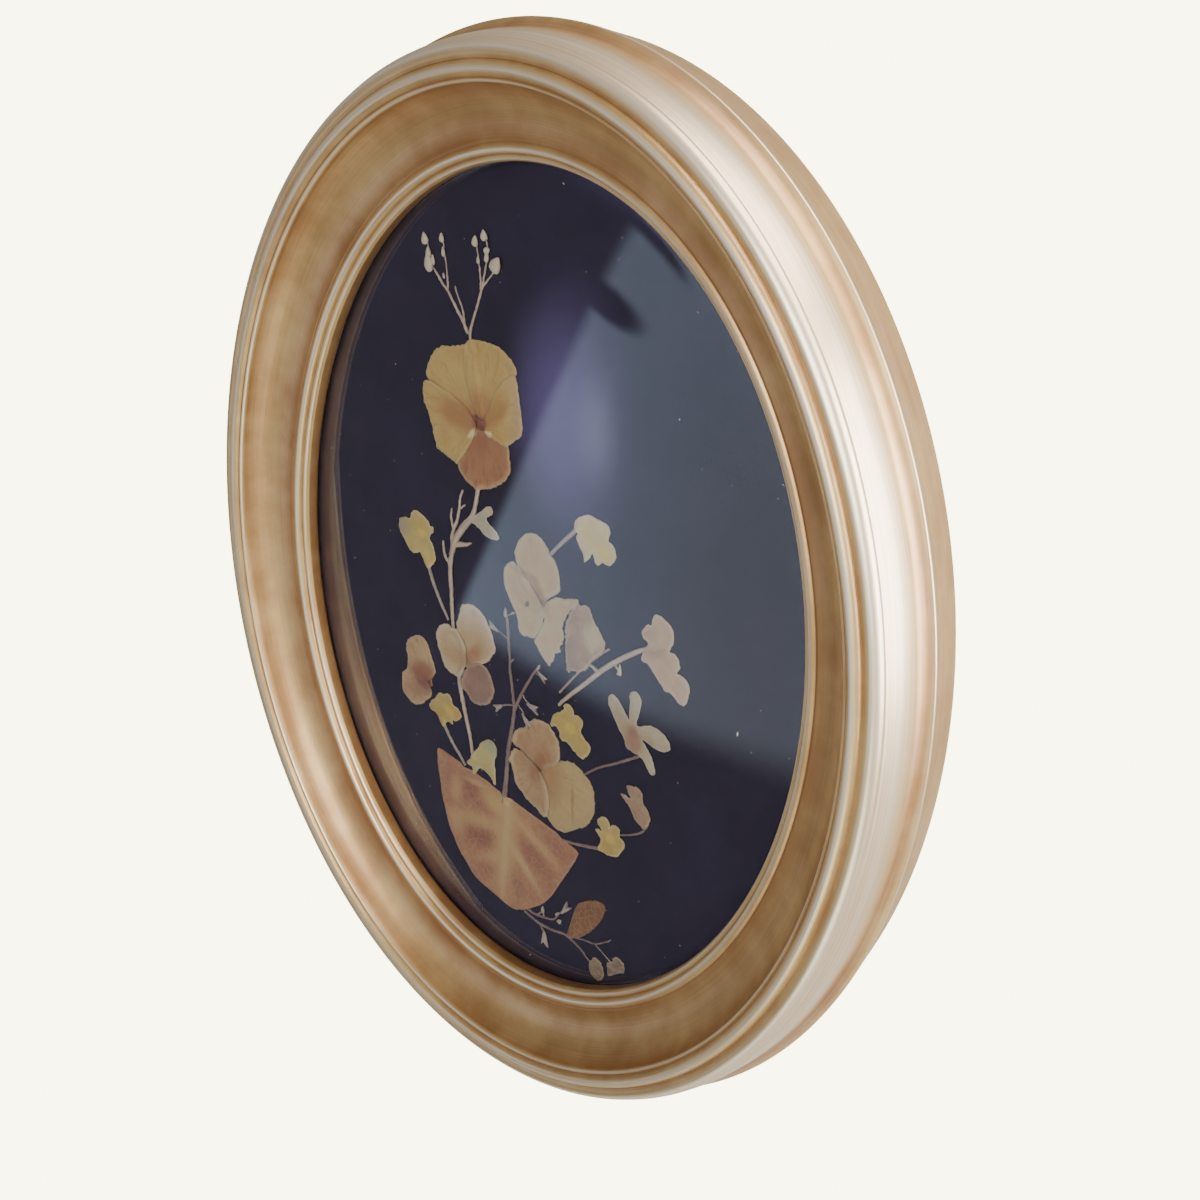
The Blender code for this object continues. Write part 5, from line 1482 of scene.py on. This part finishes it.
def flat_card(name, corners, material):
    """A flat stage piece with these corners."""
    mesh = bpy.data.meshes.new(name)
    mesh.from_pydata(corners, [], [tuple(range(len(corners)))])
    mesh.materials.append(material)
    card = bpy.data.objects.new(name, mesh)
    bpy.context.scene.collection.objects.link(card)
    return card


def glowing_window_finish():
    """A dark card that glows with a painted pale window, a painted purple patch and a painted white patch, which the
    glass mirrors as painted reflections.
    """
    material, tree, shader = new_material("glowing window card")
    place = place_of(tree)
    x, _, z = split(tree, place)
    # The window's outline and its dark spike shape the painted glow that the glass reflects.
    bend = maths(tree, "MULTIPLY", maths(tree, "MULTIPLY", z, z), -0.126)
    jamb = maths(tree, "ADD", bend, maths(tree, "MULTIPLY_ADD", z, 0.285, -0.715))
    right_of = ramp(tree, maths(tree, "SUBTRACT", x, jamb), -0.025, 0.025)
    sill = maths(tree, "MULTIPLY_ADD", x, 0.37, -0.7)
    above = ramp(tree, maths(tree, "SUBTRACT", z, sill), -0.05, 0.05)
    window = maths(tree, "MULTIPLY", right_of, above)
    spike = mark_at(tree, place, (-0.79, -1, -0.3), 0, (0.1, 1, 0.018), 0.35)
    window = maths(tree, "MULTIPLY", window, maths(tree, "SUBTRACT", 1.0, spike))
    # Painted glow of the pale window, bluer to the left, on the dark card.
    shade = mixed(tree, ramp(tree, x, -0.75, -0.25), (0.72, 0.88, 1.15), (0.58, 0.66, 0.76))
    shade = mixed(tree, window, (0.03, 0.028, 0.045), shade)
    # A painted purple patch and a painted white patch of glow, seen only as painted reflections in the glass.
    purple_glow_mask = mark_at(tree, place, (-0.84, -1, -0.5), 25, (0.13, 1, 0.13), 0.95)
    white = mark_at(tree, place, (-0.735, -1, -0.47), 20, (0.045, 1, 0.06), 0.95)
    purple_glow = times(tree, joined(tree, 0.75, 0.6, 1.5), purple_glow_mask)
    pale = times(tree, joined(tree, 0.5, 0.55, 0.7), white)
    feed(tree, shader, Base_Color=(0.01, 0.01, 0.012), Roughness=0.9, Emission_Strength=1.0)
    feed(tree, shader, Emission_Color=vector_maths(tree, "ADD", shade, vector_maths(tree, "ADD", purple_glow, pale)))
    return material


class FLOWERFRAME_OT_stage(bpy.types.Operator):
    """Set the floor, the lamps and the camera"""

    bl_idname = "flower_frame.stage"
    bl_label = "Stage"

    def execute(self, context):
        scene = context.scene
        pale = tuple(scene.frame_colours.floor)
        shown = (*scene.frame_colours.backdrop, 1)
        material, tree, shader = new_material("pale floor")
        feed(tree, shader, Base_Color=pale, Roughness=0.9)
        glow = lay(tree, "ShaderNodeEmission", {"Color": shown, "Strength": BACKDROP_LIGHT})
        camera_only(tree, shader, glow, "Material Output")
        turns = ((-1, -1), (1, -1), (1, 1), (-1, 1))
        flat_card("floor", [(x * FLOOR_REACH, y * FLOOR_REACH, FLOOR_LEVEL) for x, y in turns], material)
        # The window card glows with painted light; the camera doesn't see it, only its painted reflection in the
        # glass.
        corners = [(-3.2, -1, -2.95), (0.25, -1, -2.95), (0.25, -1, 0.1), (-3.2, -1, 0.1)]
        window = flat_card("glowing_window_card", corners, glowing_window_finish())
        window.visible_camera = False
        world = bpy.data.worlds.new("studio")
        world.use_nodes = True
        air = world.node_tree
        back = air.nodes["Background"]
        side = split(air, lay(air, "ShaderNodeTexCoord").outputs["Generated"])[0]
        light = mixed(air, ramp(air, side, -0.5, 0.9), (0.13, 0.13, 0.14), (0.95, 0.91, 0.84))
        air.links.new(light, back.inputs["Color"])
        back.inputs["Strength"].default_value = 1.0
        sky = lay(air, "ShaderNodeBackground", {"Color": shown, "Strength": BACKDROP_LIGHT})
        camera_only(air, back, sky, "World Output")
        scene.world = world
        for lamp in LAMPS:
            soft_panel(*lamp)
        camera = bpy.data.cameras.new("camera")
        camera.lens, camera.sensor_width = 49.0, 36.0
        camera.clip_start, camera.clip_end = 0.01, 100
        holder = bpy.data.objects.new("camera", camera)
        turn = Matrix(CAMERA_AXES).transposed()
        holder.matrix_world = Matrix.Translation(CAMERA_PLACE) @ turn.to_4x4()
        scene.collection.objects.link(holder)
        scene.camera = holder
        return {"FINISHED"}


class FLOWERFRAME_PT_panel(bpy.types.Panel):
    """Buttons that make the frame piece by piece"""

    bl_label = "Flower frame"
    bl_idname = "FLOWERFRAME_PT_panel"
    bl_space_type = "VIEW_3D"
    bl_region_type = "UI"
    bl_category = "Flower frame"

    def draw(self, context):
        for operator in OPERATORS:
            self.layout.operator(operator.bl_idname)
        for group_name in ("frame_sizes", "posy_sizes", "frame_colours"):
            settings = getattr(context.scene, group_name)
            for key in settings.__annotations__:
                self.layout.prop(settings, key)


OPERATORS = (
    FLOWERFRAME_OT_moulding,
    FLOWERFRAME_OT_glass,
    FLOWERFRAME_OT_velvet,
    FLOWERFRAME_OT_fixings,
    FLOWERFRAME_OT_stems,
    FLOWERFRAME_OT_petals,
    FLOWERFRAME_OT_buds,
    FLOWERFRAME_OT_tufts,
    FLOWERFRAME_OT_lint,
    FLOWERFRAME_OT_stage,
)
SETTINGS = (FrameSizes, PosySizes, FrameColours)


def register():
    for found in (*SETTINGS, *OPERATORS, FLOWERFRAME_PT_panel):
        bpy.utils.register_class(found)
    bpy.types.Scene.frame_sizes = PointerProperty(type=FrameSizes)
    bpy.types.Scene.posy_sizes = PointerProperty(type=PosySizes)
    bpy.types.Scene.frame_colours = PointerProperty(type=FrameColours)


def unregister():
    del bpy.types.Scene.frame_colours
    del bpy.types.Scene.posy_sizes
    del bpy.types.Scene.frame_sizes
    for found in reversed((*SETTINGS, *OPERATORS, FLOWERFRAME_PT_panel)):
        bpy.utils.unregister_class(found)


def main():
    register()
    for make in (make_mottle_group, make_vein_group, make_rim_group, make_mark_group, make_streak_group):
        make()
    bpy.ops.flower_frame.moulding()
    bpy.ops.flower_frame.glass()
    bpy.ops.flower_frame.velvet()
    bpy.ops.flower_frame.fixings()
    bpy.ops.flower_frame.stems()
    bpy.ops.flower_frame.petals()
    bpy.ops.flower_frame.buds()
    bpy.ops.flower_frame.tufts()
    bpy.ops.flower_frame.lint()
    bpy.ops.flower_frame.stage()
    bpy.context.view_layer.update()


if __name__ == "__main__":
    main()
